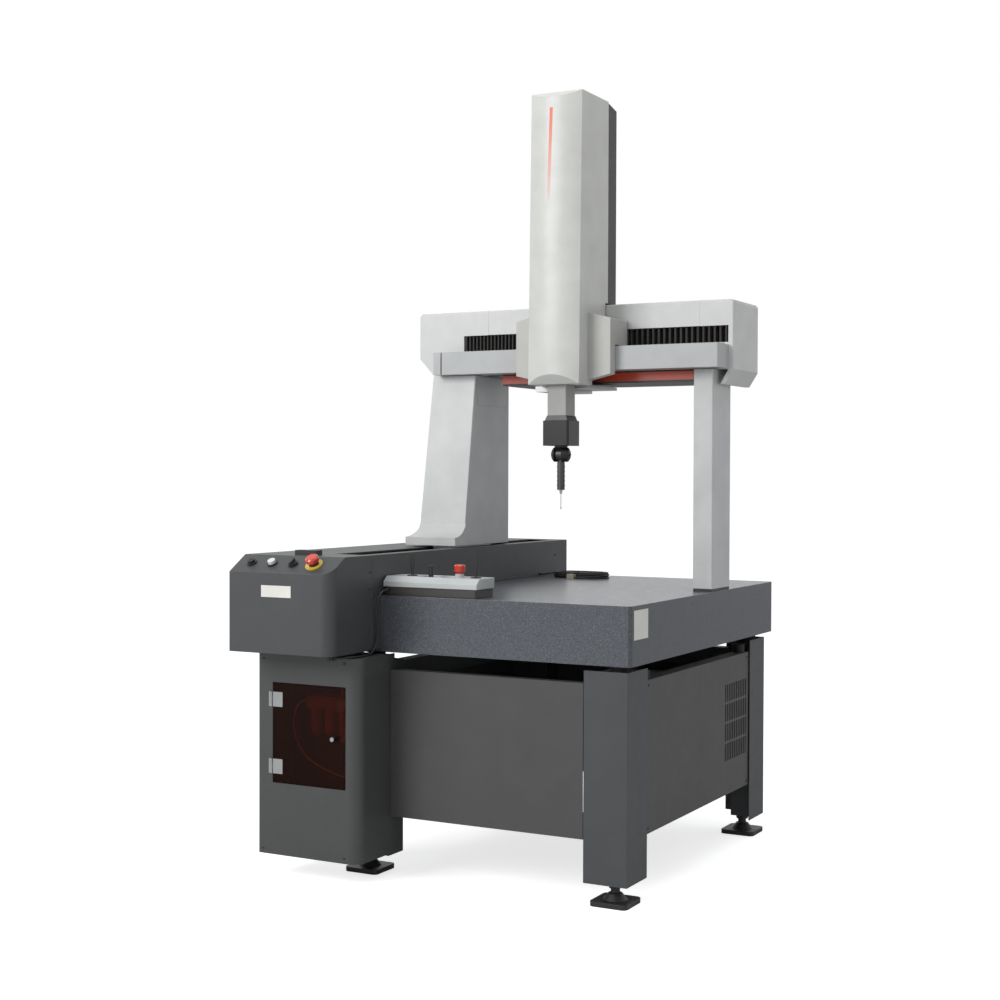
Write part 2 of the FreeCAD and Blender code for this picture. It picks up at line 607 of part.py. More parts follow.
def housing_left():
    """Left cover: side wall, top as far as the slot, and underside."""
    x0 = HOUSING_X0
    outer = box(x0, SLOT_X0, SEAM_Y, HOUSING_Y1 - SHEET, HOUSING_Z0, HOUSING_TOP)
    inner = box(x0 + SHEET, SLOT_X0, SEAM_Y, HOUSING_Y1 - SHEET, HOUSING_Z0 + SHEET, HOUSING_TOP - SHEET)
    under_table = box(TABLE_X0, SLOT_X0, SEAM_Y, HOUSING_Y1, HOUSING_Z0, TABLE_TOP)
    return outer.cut(inner).cut(under_table)


def housing_right():
    """Right cover: wall that stands on the table, and top as far as the slot."""
    y1 = HOUSING_Y1 - SHEET
    x1 = HOUSING_X1
    wall = box(x1 - SHEET, x1, SEAM_Y, y1, HOUSING_Z0, HOUSING_TOP)
    table = box(x1 - SHEET, x1, TABLE_Y0, TABLE_Y1, HOUSING_Z0, TABLE_TOP)
    top = box(SLOT_X1, x1, SEAM_Y, y1, HOUSING_TOP - SHEET, HOUSING_TOP)
    floors = [box(SLOT_X0, x1, ya, yb, HOUSING_Z0, HOUSING_Z0 + SHEET)
              for ya, yb in ((SEAM_Y, TABLE_Y0), (TABLE_Y1, y1))]
    return fuse([wall.cut(table), top] + floors)


def housing_rear():
    """Rear end plate, with the top piece that closes the slot behind the bridge."""
    plate = box(HOUSING_X0, HOUSING_X1, HOUSING_Y1 - SHEET, HOUSING_Y1, HOUSING_Z0, HOUSING_TOP)
    bridge = box(SLOT_X0, SLOT_X1, SLOT_Y1, HOUSING_Y1, HOUSING_TOP - SHEET, HOUSING_TOP)
    return fuse([plate, bridge])


def slot_seals():
    """Rubber lips along both edges of the slot."""
    z1 = HOUSING_TOP - SHEET
    lips = []
    for edge, inward in ((SLOT_X0, 1), (SLOT_X1, -1)):
        x_a, x_b = edge - inward * (SEAL_W - SEAL_LIP), edge + inward * SEAL_LIP
        lips.append(box(min(x_a, x_b), max(x_a, x_b), SLOT_Y0, SLOT_Y1, z1 - SHEET, z1))
    return group(lips)


def control_box():
    """Front box with the sloping control panel, open towards the housing."""
    y0, z1 = BOX_FRONT_Y, HOUSING_TOP
    outline = [(y0, HOUSING_Z0), (y0, z1 - BOX_SLOPE_DROP), (y0 + BOX_SLOPE_RUN, z1), (SEAM_Y, z1),
               (SEAM_Y, HOUSING_Z0)]
    outer = profile_yz(outline, HOUSING_X0, HOUSING_X1)
    outer = outer.makeFillet(BOX_CORNER_R, upright_edges(outer, [(HOUSING_X1, y0)]))
    s = SHEET
    slope = math.atan2(BOX_SLOPE_DROP, BOX_SLOPE_RUN)
    low = s * math.tan((math.pi / 2 - slope) / 2)
    high = s * math.tan(slope / 2)
    inside = [(y0 + s, HOUSING_Z0 + s), (y0 + s, z1 - BOX_SLOPE_DROP - low),
              (y0 + BOX_SLOPE_RUN + high, z1 - s), (SEAM_Y, z1 - s), (SEAM_Y, HOUSING_Z0 + s)]
    inner = profile_yz(inside, HOUSING_X0 + s, HOUSING_X1 - s)
    inner = inner.makeFillet(BOX_CORNER_R - s, upright_edges(inner, [(HOUSING_X1 - s, y0 + s)]))
    return outer.cut(inner)


def end_stop_bracket():
    """Dark bracket on the box's top, in line with the slot."""
    x0, w, d, h = -407.0, 68.0, 30.0, 14.0
    y0 = BOX_FRONT_Y + BOX_SLOPE_RUN + 23
    body = box(x0, x0 + w, y0, y0 + d, HOUSING_TOP, HOUSING_TOP + h)
    step = box(x0 + w / 4, x0 + 3 * w / 4, y0 + d / 2, y0 + d, HOUSING_TOP + h / 2, HOUSING_TOP + h)
    return body.cut(step)


# ================================================================ panel controls
SLOPE = math.atan2(BOX_SLOPE_DROP, BOX_SLOPE_RUN)
PANEL_NORMAL = Vec(0, -math.sin(SLOPE), math.cos(SLOPE))


def panel_spot(index):
    """Centre of a control on the sloping panel."""
    along = Vec(0, math.cos(SLOPE), math.sin(SLOPE)) * CONTROL_UP_SLOPE
    crease = Vec(CONTROL_X0 + index * CONTROL_PITCH, BOX_FRONT_Y, HOUSING_TOP - BOX_SLOPE_DROP)
    return crease + along


def panel_disc(index, radius, low, high):
    """Disc on the panel between two heights along its normal."""
    base = panel_spot(index) + PANEL_NORMAL * low
    return Part.makeCylinder(radius, high - low, base, PANEL_NORMAL)


def panel_ring(index, outer, inner, low, high):
    """Ring on the panel."""
    return panel_disc(index, outer, low, high).cut(panel_disc(index, inner, low - 1, high + 1))


def panel_bezels():
    """Black bezels of the switches and the sleeve of the emergency stop."""
    radii = (KEY_R, BUTTON_R, KNOB_R)
    rings = [panel_ring(k, BEZEL_R, radii[k] + SLIDE_GAP, 0, BEZEL_H) for k in range(3)]
    sleeve = panel_ring(3, ESTOP_SLEEVE_R, ESTOP_STEM_R + SLIDE_GAP, 0, ESTOP_SLEEVE_H)
    return group(rings + [sleeve])


def estop_collar():
    """Yellow collar of the emergency stop."""
    return panel_ring(3, ESTOP_COLLAR_R, ESTOP_SLEEVE_R, 0, ESTOP_COLLAR_H)


def key_switch():
    """Key barrel with its slot."""
    barrel = panel_disc(0, KEY_R, SLIDE_GAP, KEY_H)
    centre = panel_spot(0) + PANEL_NORMAL * KEY_H
    slot = box(centre.x - 0.9, centre.x + 0.9, centre.y - 5, centre.y + 5, centre.z - 9, centre.z + 9)
    return barrel.cut(slot.common(panel_disc(0, 5.0, KEY_H - 4, KEY_H + 2)))


def start_button():
    """Push button, with its travel below its rim."""
    return panel_disc(1, BUTTON_R, BUTTON_TRAVEL + SLIDE_GAP, BUTTON_H + BUTTON_TRAVEL)


def mode_knob():
    """Rotary switch: a round skirt with a grip bar across it."""
    skirt = panel_disc(2, KNOB_R, SLIDE_GAP, KNOB_H / 2)
    low = panel_spot(2) + PANEL_NORMAL * (KNOB_H / 2 - 1)
    grip = box(-KNOB_R / 4, KNOB_R / 4, -KNOB_R, KNOB_R, 0, KNOB_H / 2 + 1)
    grip = grip.common(Part.makeCylinder(KNOB_R, KNOB_H))
    grip.rotate(Vec(0, 0, 0), Vec(1, 0, 0), math.degrees(SLOPE))
    grip.translate(low)
    return fuse([skirt, grip])


def estop_button():
    """Mushroom head on its stem."""
    stem = panel_disc(3, ESTOP_STEM_R, ESTOP_TRAVEL + SLIDE_GAP, ESTOP_H - 10)
    head = panel_disc(3, ESTOP_HEAD_R, ESTOP_H - 13, ESTOP_H)
    return fuse([stem, head.makeChamfer(4, [upper_rim(head)])])


# ================================================================ air cabinet
def cabinet_shell():
    """Front left leg of the stand: a sheet case with a door opening."""
    s = SHEET
    y1 = POST_Y_FRONT
    outer = box(CAB_X0, CAB_X1, CAB_Y0, y1, CAB_Z0, CAB_Z1)
    outer = outer.makeFillet(CAB_CORNER_R, upright_edges(outer, [(CAB_X1, CAB_Y0)]))
    inner = box(CAB_X0 + s, CAB_X1 - s, CAB_Y0 + s, y1 - s, CAB_Z0 + s, CAB_Z1 - s)
    inner = inner.makeFillet(CAB_CORNER_R - s, upright_edges(inner, [(CAB_X1 - s, CAB_Y0 + s)]))
    g = DOOR_GAP
    opening = box(DOOR_X0 - g, DOOR_X1 + g, CAB_Y0 - s, CAB_Y0 + 2 * s, DOOR_Z0 - g, DOOR_Z1 + g)
    apron = box(CAB_X1 - s, CAB_X1, y1, CAB_SIDE_Y1, CAB_Z0, CAB_Z1)
    for z in (RAIL_LOW_Z, RAIL_TOP_Z):
        apron = apron.cut(box(CAB_X1 - 2 * s, CAB_X1 + s, y1, CAB_SIDE_Y1 + s, z - g, z + RAIL_H + g))
    return fuse([outer.cut(inner).cut(opening), apron])


def hinge_axis():
    """Upright axis of the cabinet door."""
    return DOOR_X0 - 3.0, CAB_Y0 - HINGE_R - SLIDE_GAP


def hinge_heights():
    """Lower ends of the two hinges."""
    return DOOR_Z0 + HINGE_MARGIN, DOOR_Z1 - HINGE_MARGIN - HINGE_H


def cabinet_hinge_leaves():
    """Fixed leaves, with the two outer knuckles and the pin."""
    ax, ay = hinge_axis()
    leaves = []
    for z0 in hinge_heights():
        third = HINGE_H / 3
        leaf = box(ax - 10, ax, CAB_Y0 - HINGE_LEAF_T, CAB_Y0, z0, z0 + HINGE_H)
        middle = rod(HINGE_R + 2 * SLIDE_GAP, (ax, ay, z0 + third), (ax, ay, z0 + 2 * third))
        knuckles = [rod(HINGE_R, (ax, ay, z0), (ax, ay, z0 + third)),
                    rod(HINGE_R, (ax, ay, z0 + 2 * third), (ax, ay, z0 + HINGE_H))]
        pin = rod(HINGE_PIN_R, (ax, ay, z0), (ax, ay, z0 + HINGE_H))
        leaves.append(fuse([leaf.cut(middle)] + knuckles + [pin]))
    return group(leaves)


def door_hinge_leaves():
    """Moving leaves on the door, each with the middle knuckle."""
    ax, ay = hinge_axis()
    y1 = door_front_y()
    leaves = []
    for z0 in hinge_heights():
        low, high = z0 + HINGE_H / 3 + SLIDE_GAP, z0 + 2 * HINGE_H / 3 - SLIDE_GAP
        near = DOOR_X0 + 1.0
        leaf = box(near, near + HINGE_LEAF, y1 - HINGE_LEAF_T, y1, z0, z0 + HINGE_H)
        arm = box(ax, near, y1 - HINGE_LEAF_T, y1, low, high)
        knuckle = rod(HINGE_R, (ax, ay, low), (ax, ay, high))
        bore = rod(HINGE_PIN_R + PIN_GAP, (ax, ay, low), (ax, ay, high))
        leaves.append(fuse([leaf, arm, knuckle]).cut(bore))
    return group(leaves)


def door_front_y():
    """Front face of the closed door, a little proud of the cabinet."""
    return CAB_Y0 - 1.0


def door_panel():
    """Smoked acrylic door with a small pull."""
    y0 = door_front_y()
    return box(DOOR_X0, DOOR_X1, y0, y0 + DOOR_T, DOOR_Z0, DOOR_Z1)


def door_pull():
    """Round pull near the door's free edge."""
    x, z = DOOR_X1 - 32, DOOR_Z0 + DOOR_H / 2 - 2
    y0 = door_front_y()
    stem = rod(DOOR_PULL_R / 2, (x, y0 - DOOR_PULL_H, z), (x, y0, z))
    head = rod(DOOR_PULL_R, (x, y0 - DOOR_PULL_H, z), (x, y0 - DOOR_PULL_H / 2, z))
    return fuse([stem, head])


def door_catch():
    """Magnetic catch behind the door's free edge."""
    z = DOOR_Z0 + DOOR_H / 2 - 2
    y0 = door_front_y() + DOOR_T + SLIDE_GAP
    arm = box(DOOR_X1 - 22, DOOR_X1 + 7, y0 + 6, y0 + 9, z - 8, z + 8)
    wall = box(DOOR_X1 + DOOR_GAP, DOOR_X1 + 7, CAB_Y0 + SHEET, y0 + 6, z - 8, z + 8)
    magnet = box(DOOR_X1 - 22, DOOR_X1 - 4, y0, y0 + 6, z - 8, z + 8)
    return fuse([arm, wall, magnet])


def air_filter_unit():
    """Filter and regulator set: ported manifold, bowls and a set knob."""
    x0, y0, z0 = MANIFOLD_X0, MANIFOLD_Y0, MANIFOLD_Z0
    x1, y1, z1 = x0 + MANIFOLD_W, y0 + MANIFOLD_D, z0 + MANIFOLD_H
    solids = [box(x0, x1, y0, y1, z0, z1)]
    pitch = MANIFOLD_W / BOWL_COUNT
    y = (y0 + y1) / 2
    for k in range(BOWL_COUNT):
        x = x0 + (k + 0.5) * pitch
        solids.append(rod(BOWL_R, (x, y, z0 - BOWL_H), (x, y, z0)))
        solids.append(cone(BOWL_R / 3, BOWL_R, (x, y, z0 - BOWL_H - BOWL_R / 2), BOWL_R / 2))
    solids.append(rod(BOWL_R * 0.8, (x1 - pitch / 2, y, z1), (x1 - pitch / 2, y, z1 + 24)))
    solids.append(box(x0 + pitch / 2, x1 - pitch / 2, y1, POST_Y_FRONT - SHEET, z0 + 4, z1 - 4))
    return fuse(solids)


def pressure_gauge():
    """Round gauge on the manifold's front."""
    x = MANIFOLD_X0 + MANIFOLD_W - GAUGE_R / 2
    z = MANIFOLD_Z0 + MANIFOLD_H / 2
    body = rod(GAUGE_R, (x, MANIFOLD_Y0 - GAUGE_H, z), (x, MANIFOLD_Y0 - 6, z))
    stem = rod(GAUGE_R / 4, (x, MANIFOLD_Y0 - 6, z), (x, MANIFOLD_Y0, z))
    dish = rod(GAUGE_R - 2, (x, MANIFOLD_Y0 - GAUGE_H, z), (x, MANIFOLD_Y0 - GAUGE_H + 2, z))
    return fuse([body.cut(dish), stem])


def hose_route():
    """Centre line of the air hose, from the manifold's port to the side wall."""
    y = MANIFOLD_Y0 + MANIFOLD_D / 2
    z = MANIFOLD_Z0 + MANIFOLD_H / 2
    port = MANIFOLD_X0
    fall = z - DOOR_Z0
    return [(port, y, z), (port - 20, y, z), (port - 38.5, y - 1.5, z - 11), (port - 48, y - 5, z - 32),
            (port - 50, y - 8, z - 60), (port - 43, y - 12, z - 93), (port - 28, y - 14, z - 126),
            (port - 2, y - 14, z - 155), (port + 34, y - 12, z - 174), (port + 78, y - 8, z - fall + 22),
            (port + 124, y, z - fall + 10), (port + 168, y, z - fall + 10)]


def air_hose():
    """Air hose, held at both ends."""
    return cord_tube("air_hose", hose_route(), HOSE_R)


def hose_fitting():
    """Bulkhead fitting of the air hose in the cabinet's side wall."""
    end = hose_route()[-1]
    body = rod(2 * HOSE_R, end, (CAB_X1 - SHEET, end[1], end[2]))
    flange = rod(3 * HOSE_R, (CAB_X1 - SHEET - 5, end[1], end[2]), (CAB_X1 - SHEET, end[1], end[2]))
    return fuse([body, flange])


# ================================================================ bridge
def neck_width():
    """Width of the carriage neck that passes through the slot."""
    return SLOT_W - 2 * NECK_GAP


def y_carriage():
    """Saddle over the guide bar, with the neck that carries the left leg."""
    half = RAIL_BAR_W / 2 + CARRIAGE_FILM
    x0, x1 = SLOT_MID_X - half - CARRIAGE_WALL, SLOT_MID_X + half + CARRIAGE_WALL
    y1 = CARRIAGE_Y0 + CARRIAGE_L
    cavity_z1 = TABLE_TOP + RAIL_BAR_H + CARRIAGE_FILM
    top = HOUSING_TOP - SHEET - 3 * CARRIAGE_FILM
    body = box(x0, x1, CARRIAGE_Y0, y1, TABLE_TOP + 8, top)
    body = body.cut(box(x0 + CARRIAGE_WALL, x1 - CARRIAGE_WALL, CARRIAGE_Y0, y1, TABLE_TOP, cavity_z1))
    half_neck = neck_width() / 2
    neck = box(SLOT_MID_X - half_neck, SLOT_MID_X + half_neck, CARRIAGE_Y0 + 15, y1 - 15,
               top, HOUSING_TOP + LEFT_LEG_GAP)
    return fuse([body, neck])


def guide_air_bearings():
    """Round air bearings between the carriage and the guide bar."""
    pads = []
    top_z = TABLE_TOP + RAIL_BAR_H
    side_z = top_z - AIR_DISC_SIDE_R - CARRIAGE_FILM
    half = RAIL_BAR_W / 2
    for y in (CARRIAGE_Y0 + 50, CARRIAGE_Y0 + CARRIAGE_L - 50):
        pads.append(rod(AIR_DISC_R, (SLOT_MID_X, y, top_z + SLIDE_GAP), (SLOT_MID_X, y, top_z + CARRIAGE_FILM)))
        for side in (-1, 1):
            near = SLOT_MID_X + side * (half + SLIDE_GAP)
            far = SLOT_MID_X + side * (half + CARRIAGE_FILM)
            pads.append(rod(AIR_DISC_SIDE_R, (near, y, side_z), (far, y, side_z)))
    return group(pads)


def y_drive_unit():
    """Sealed friction drive of the Y axis, carried by the carriage."""
    x1 = SLOT_MID_X - RAIL_BAR_W / 2 - CARRIAGE_FILM - CARRIAGE_WALL
    y0 = CARRIAGE_Y0 + (CARRIAGE_L - DRIVE_L) / 2
    z0 = TABLE_TOP + CARRIAGE_WALL / 2
    case = box(x1 - DRIVE_W, x1, y0, y0 + DRIVE_L, z0, z0 + DRIVE_H)
    x = TABLE_X0 - DRIVE_BAR_W - SLIDE_GAP - DRIVE_MOTOR_R
    y = y0 + DRIVE_L / 2
    motor = rod(DRIVE_MOTOR_R, (x, y, z0), (x, y, z0 - DRIVE_MOTOR_H))
    return fuse([case, motor])


def left_leg_side(x0, x1):
    """Side outline of the left leg: plinth, hollow flare and leaning front."""
    z0 = HOUSING_TOP + LEFT_LEG_GAP
    z1, z2 = z0 + PLINTH_H, z0 + PLINTH_H + FLARE_H
    corners = [Vec(x0, LEFT_LEG_BACK_Y, z0), Vec(x0, LEFT_LEG_BASE_Y, z0), Vec(x0, LEFT_LEG_BASE_Y, z1),
               Vec(x0, LEFT_LEG_KNEE_Y, z2), Vec(x0, LEFT_LEG_TOP_Y, LEG_TOP),
               Vec(x0, LEFT_LEG_BACK_Y, LEG_TOP)]
    bend = Vec(x0, (LEFT_LEG_BASE_Y + 2 * LEFT_LEG_KNEE_Y) / 3, (2 * z1 + z2) / 3)
    edges = [Part.LineSegment(a, b).toShape() for a, b in zip(corners, corners[1:] + corners[:1])]
    edges[2] = Part.Arc(corners[2], bend, corners[3]).toShape()
    return Part.Face(Part.Wire(edges)).extrude(Vec(x1 - x0, 0, 0))


def left_leg_front():
    """Front outline of the left leg, which widens towards the left."""
    z0 = HOUSING_TOP + LEFT_LEG_GAP
    z1, z2 = z0 + PLINTH_H, z0 + PLINTH_H + FLARE_H
    x1 = LEFT_LEG_INNER_X
    x_base, x_top = x1 - LEFT_LEG_BASE_W, x1 - LEFT_LEG_TOP_W
    x_knee = x_base + 0.55 * (x_top - x_base)
    y = LEFT_LEG_BASE_Y
    corners = [Vec(x1, y, z0), Vec(x_base, y, z0), Vec(x_base, y, z1), Vec(x_knee, y, z2),
               Vec(x_top, y, LEG_TOP), Vec(x1, y, LEG_TOP)]
    bend = Vec((x_base + 2 * x_knee) / 3, y, (2 * z1 + z2) / 3)
    edges = [Part.LineSegment(a, b).toShape() for a, b in zip(corners, corners[1:] + corners[:1])]
    edges[2] = Part.Arc(corners[2], bend, corners[3]).toShape()
    return Part.Face(Part.Wire(edges)).extrude(Vec(0, LEFT_LEG_BACK_Y - y, 0))


def left_column():
    """Left leg of the bridge."""
    x_base = LEFT_LEG_INNER_X - LEFT_LEG_BASE_W
    leg = left_leg_side(x_base, LEFT_LEG_INNER_X).common(left_leg_front())
    back = upright_edges(leg, [(LEFT_LEG_INNER_X, LEFT_LEG_BACK_Y)])
    leg = leg.makeFillet(LEG_EDGE_R, back)
    return leg.makeFillet(LEG_EDGE_R / 2, leaning_edges(leg))


def leaning_edges(leg):
    """The two leaning front edges of the left leg, above the flare."""
    z2 = HOUSING_TOP + LEFT_LEG_GAP + PLINTH_H + FLARE_H
    found = []
    for edge in leg.Edges:
        a, b = edge.Vertexes[0].Point, edge.Vertexes[-1].Point
        low, high = min(a.z, b.z), max(a.z, b.z)
        front = max(a.y, b.y) < LEFT_LEG_TOP_Y + 1
        if front and abs(low - z2) < 0.1 and abs(high - LEG_TOP) < 0.1:
            found.append(edge)
    return found


def column_access_cover():
    """Screwed cover plate high on the leg's inner side."""
    x0 = LEFT_LEG_INNER_X
    y0, y1 = LEFT_LEG_TOP_Y + 12, LEFT_LEG_BACK_Y - 2 * LEG_EDGE_R
    return box(x0, x0 + 1.5, y0, y1, LEG_TOP - 90, LEG_TOP - 4)


def right_column():
    """Slim right leg, with rounded upright edges."""
    x1 = RIGHT_LEG_X0 + RIGHT_LEG_W
    y1 = RIGHT_LEG_Y0 + RIGHT_LEG_D
    z0 = TABLE_TOP + SLIDE_GAP + AIR_PAD_H
    return rounded_box(RIGHT_LEG_X0, x1, RIGHT_LEG_Y0, y1, z0, LEG_TOP, LEG_EDGE_R / 2)


def right_air_bearing():
    """Flat air bearing under the right leg."""
    inset = 1.5
    x1 = RIGHT_LEG_X0 + RIGHT_LEG_W
    y1 = RIGHT_LEG_Y0 + RIGHT_LEG_D
    z0 = TABLE_TOP + SLIDE_GAP
    return box(RIGHT_LEG_X0 + inset, x1 - inset, RIGHT_LEG_Y0 + inset, y1 - inset, z0, z0 + AIR_PAD_H)


def x_beam():
    """Cross beam on the two legs."""
    return box(BEAM_X0, BEAM_X1, BEAM_Y0, BEAM_Y1, LEG_TOP, BEAM_TOP)


def x_scale():
    """Glass scale of the X axis, on the back of the beam."""
    z1 = BEAM_TOP - SCALE_H
    return box(BEAM_X0 + BRACE_W, BEAM_X1 - BRACE_W, BEAM_Y1, BEAM_Y1 + SCALE_T, z1 - SCALE_H, z1)


def strip_brackets():
    """Brackets from the beam to its front channel, below the saddle."""
    z0 = STRIP_Z0 + SHEET
    spots = (TRAY_X0, (TRAY_X0 + RIGHT_LEG_X0) / 2, RIGHT_LEG_X0 - 2 * BRACKET_W)
    return group([box(x, x + BRACKET_W, COVER_Y0, BEAM_Y0, z0, z0 + BRACKET_H) for x in spots])


def cover_braces():
    """Ribs on the ends of the beam that carry its cover."""
    s = SKIN
    z1 = COVER_TOP - s
    braces = []
    for x0 in (BEAM_X0, BEAM_X1 - BRACE_W):
        over = box(x0, x0 + BRACE_W, COVER_Y0 + s, COVER_Y1 - s, BEAM_TOP, z1)
        behind = box(x0, x0 + BRACE_W, BEAM_Y1, COVER_Y1 - s, LEG_TOP, BEAM_TOP)
        braces.append(fuse([over, behind]))
    return group(braces)


def window(y0, y1):
    """Space of the bellows window through the cover's front."""
    return box(WINDOW_X0, WINDOW_X1, y0, y1, WINDOW_Z0, WINDOW_Z1)


def cover_block(x0, x1, rounded_x=None):
    """Length of the cover's outer box, rounded along its top edges."""
    block = box(x0, x1, COVER_Y0, COVER_Y1, LEG_TOP, COVER_TOP)
    if rounded_x is not None:
        ends = [e for e in block.Edges if is_top(e) and abs(e.CenterOfMass.x - rounded_x) < 0.01]
        block = block.makeFillet(COVER_R, ends)
    edges = [e for e in block.Edges if is_along_x(e) and is_top(e)]
    return block.makeFillet(COVER_R / 3, edges)


def beam_cover():
    """Middle cover of the beam: front band over the window, top and back."""
    x0, x1, s = SEAM_LEFT_X, SEAM_RIGHT_X, SKIN
    inner = box(x0, x1, COVER_Y0 + s, COVER_Y1 - s, LEG_TOP, COVER_TOP - s)
    front = box(x0, x1, COVER_Y0, COVER_Y0 + s, LEG_TOP, WINDOW_Z1)
    return cover_block(x0, x1).cut(inner).cut(front)


def is_top(edge):
    """Whether an edge lies on the cover's top face."""
    return abs(edge.CenterOfMass.z - COVER_TOP) < 0.01


def is_along_x(edge):
    """Whether an edge is straight and lies along X."""
    a, b = edge.Vertexes[0].Point, edge.Vertexes[-1].Point
    return abs(a.y - b.y) < 0.01 and abs(a.z - b.z) < 0.01 and abs(a.x - b.x) > 0.01


def beam_end_left():
    """Left end of the beam cover, with a chamfered lower corner."""
    x0, x1, s = COVER_X0, SEAM_LEFT_X, SKIN
    z0, z1 = LEG_TOP, COVER_TOP
    w, h = LEFT_CHAMFER_W, LEFT_CHAMFER_H
    corner = prism([(x0, COVER_Y0, z0), (x0 + w, COVER_Y0, z0), (x0, COVER_Y0, z0 + h)], (0, COVER_D, 0))
    along = s * math.tan(math.atan2(h, w) / 2)
    up = s * math.tan(math.atan2(w, h) / 2)
    inside = [(x1, z0 + s), (x0 + w + along, z0 + s), (x0 + s, z0 + h + up), (x0 + s, z1 - s), (x1, z1 - s)]
    shell = cover_block(x0, x1, x0).cut(corner).cut(profile_xz(inside, COVER_Y0 + s, COVER_Y1 - s))
    over_leg = box(LEFT_LEG_INNER_X - LEFT_LEG_TOP_W, x1, COVER_Y0 + s, COVER_Y1 - s, z0, z0 + s)
    shell = shell.cut(over_leg).cut(window(COVER_Y0, COVER_Y0 + s))
    return fuse([shell, window_end(WINDOW_X0 - s)])


def window_end(x0):
    """Bulkhead that holds the fixed end of a bellows."""
    y0 = COVER_Y0 + SKIN
    return box(x0, x0 + SKIN, y0, BEAM_Y0, WINDOW_Z0 - COVER_GAP, WINDOW_Z1 + COVER_GAP)


def beam_end_right():
    """Right end of the beam cover; its end wall turns in below the beam."""
    x0, x1, s = SEAM_RIGHT_X, COVER_X1, SKIN
    z0, z1 = LEG_TOP, COVER_TOP
    inner = box(x0, x1 - s, COVER_Y0 + s, COVER_Y1 - s, z0, z1 - s)
    shell = cover_block(x0, x1, x1).cut(inner).cut(window(COVER_Y0, COVER_Y0 + s))
    low = z0 - END_DROP
    outer = [(x1, z0), (x1 - END_SLANT, low), (x1 - END_SLANT - END_WALL, low), (x1 - END_WALL, z0)]
    hollow = [(x1 - s, z0), (x1 - s - END_SLANT, low + s), (x1 + s - END_SLANT - END_WALL, low + s),
              (x1 + s - END_WALL, z0)]
    skirt = profile_xz(outer, COVER_Y0, COVER_Y1).cut(profile_xz(hollow, COVER_Y0 + s, COVER_Y1 - s))
    return fuse([shell, skirt, window_end(WINDOW_X1)])


def strip_channel(x0, x1):
    """Length of the channel cover below the bellows, open at its back."""
    t = SHEET
    y0, y1 = STRIP_Y0, COVER_Y0
    outer = box(x0, x1, y0, y1, STRIP_Z0, STRIP_Z1)
    inner = box(x0, x1, y0 + t, y1, STRIP_Z0 + t, STRIP_Z1 - t)
    lip = box(x0, x1, y1 - t, y1, STRIP_Z1, WINDOW_Z0)
    return fuse([outer.cut(inner), lip])


def beam_front_strip():
    """Long front channel of the beam."""
    x0 = STRIP_X0 + STRIP_END_LEFT + STRIP_JOINT
    return strip_channel(x0, STRIP_X1 - STRIP_END_RIGHT)


def strip_ends():
    """Closed end pieces of the front channel."""
    left = box(STRIP_X0, STRIP_X0 + STRIP_END_LEFT, STRIP_Y0, COVER_Y0, STRIP_Z0, STRIP_Z1)
    right = box(STRIP_X1 - STRIP_END_RIGHT, STRIP_X1, STRIP_Y0, COVER_Y0, STRIP_Z0, STRIP_Z1)
    return group([left, right])


def under_beam_tray():
    """Cable tray under the beam, between the legs."""
    t = SHEET
    x0, x1 = TRAY_X0, RIGHT_LEG_X0 - 0.5
    y1 = COVER_Y1 - SKIN
    outer = box(x0, x1, TRAY_Y0, y1, TRAY_Z0, LEG_TOP)
    tray = outer.cut(box(x0 + t, x1 - t, TRAY_Y0 + t, y1 - t, TRAY_Z0 + t, LEG_TOP))
    hangers = [box(x, x + BRACKET_W, BEAM_Y0, BEAM_Y1, TRAY_Z0 + t, LEG_TOP)
               for x in (x0 + 2 * BRACKET_W, x1 - 3 * BRACKET_W)]
    return fuse([tray] + hangers)


def accent_rail():
    """Red-orange trim along the tray's front."""
    z1 = LEG_TOP - SHEET
    return box(TRAY_X0, RIGHT_LEG_X0 - 0.5, TRAY_Y0 - ACCENT_T, TRAY_Y0, z1 - ACCENT_H, z1)


def bellows(x0, x1, folds):
    """Pleated cover: a zigzag front swept over the window's height."""
    y_out = COVER_Y0 + SKIN + BELLOWS_GAP
    y_in = y_out + BELLOWS_FOLD
    y_back = y_out + BELLOWS_D
    pitch = (x1 - x0) / folds
    front = []
    for k in range(folds):
        front += [(x0 + k * pitch, y_in), (x0 + (k + 0.5) * pitch, y_out)]
    outline = [(x0, y_back)] + front + [(x1, y_in), (x1, y_back)]
    z0, z1 = WINDOW_Z0 + BELLOWS_GAP, WINDOW_Z1 - BELLOWS_GAP
    return prism([(x, y, z0) for x, y in outline], (0, 0, z1 - z0))


def bellows_left():
    """Bellows on the left of the carriage."""
    return bellows(WINDOW_X0, WING_X0, FOLDS_LEFT)


def bellows_right():
    """Bellows on the right of the carriage."""
    return bellows(WING_X1, WINDOW_X1, FOLDS_RIGHT)


# ================================================================ x carriage
def column_section(front_y, inset, z):
    """Plan outline of the column cover: straight sides and a bulging front."""
    x0, x1 = COL_X0 + inset, COL_X1 - inset
    back, front = COL_BACK_Y, front_y + inset
    a, b = Vec(x0, back, z), Vec(x0, front, z)
    c, d = Vec(x1, front, z), Vec(x1, back, z)
    crown = Vec(COL_MID_X, front - COL_BULGE, z)
    edges = [Part.LineSegment(a, b).toShape(), Part.Arc(b, crown, c).toShape(),
             Part.LineSegment(c, d).toShape(), Part.LineSegment(d, a).toShape()]
    return Part.Wire(edges)


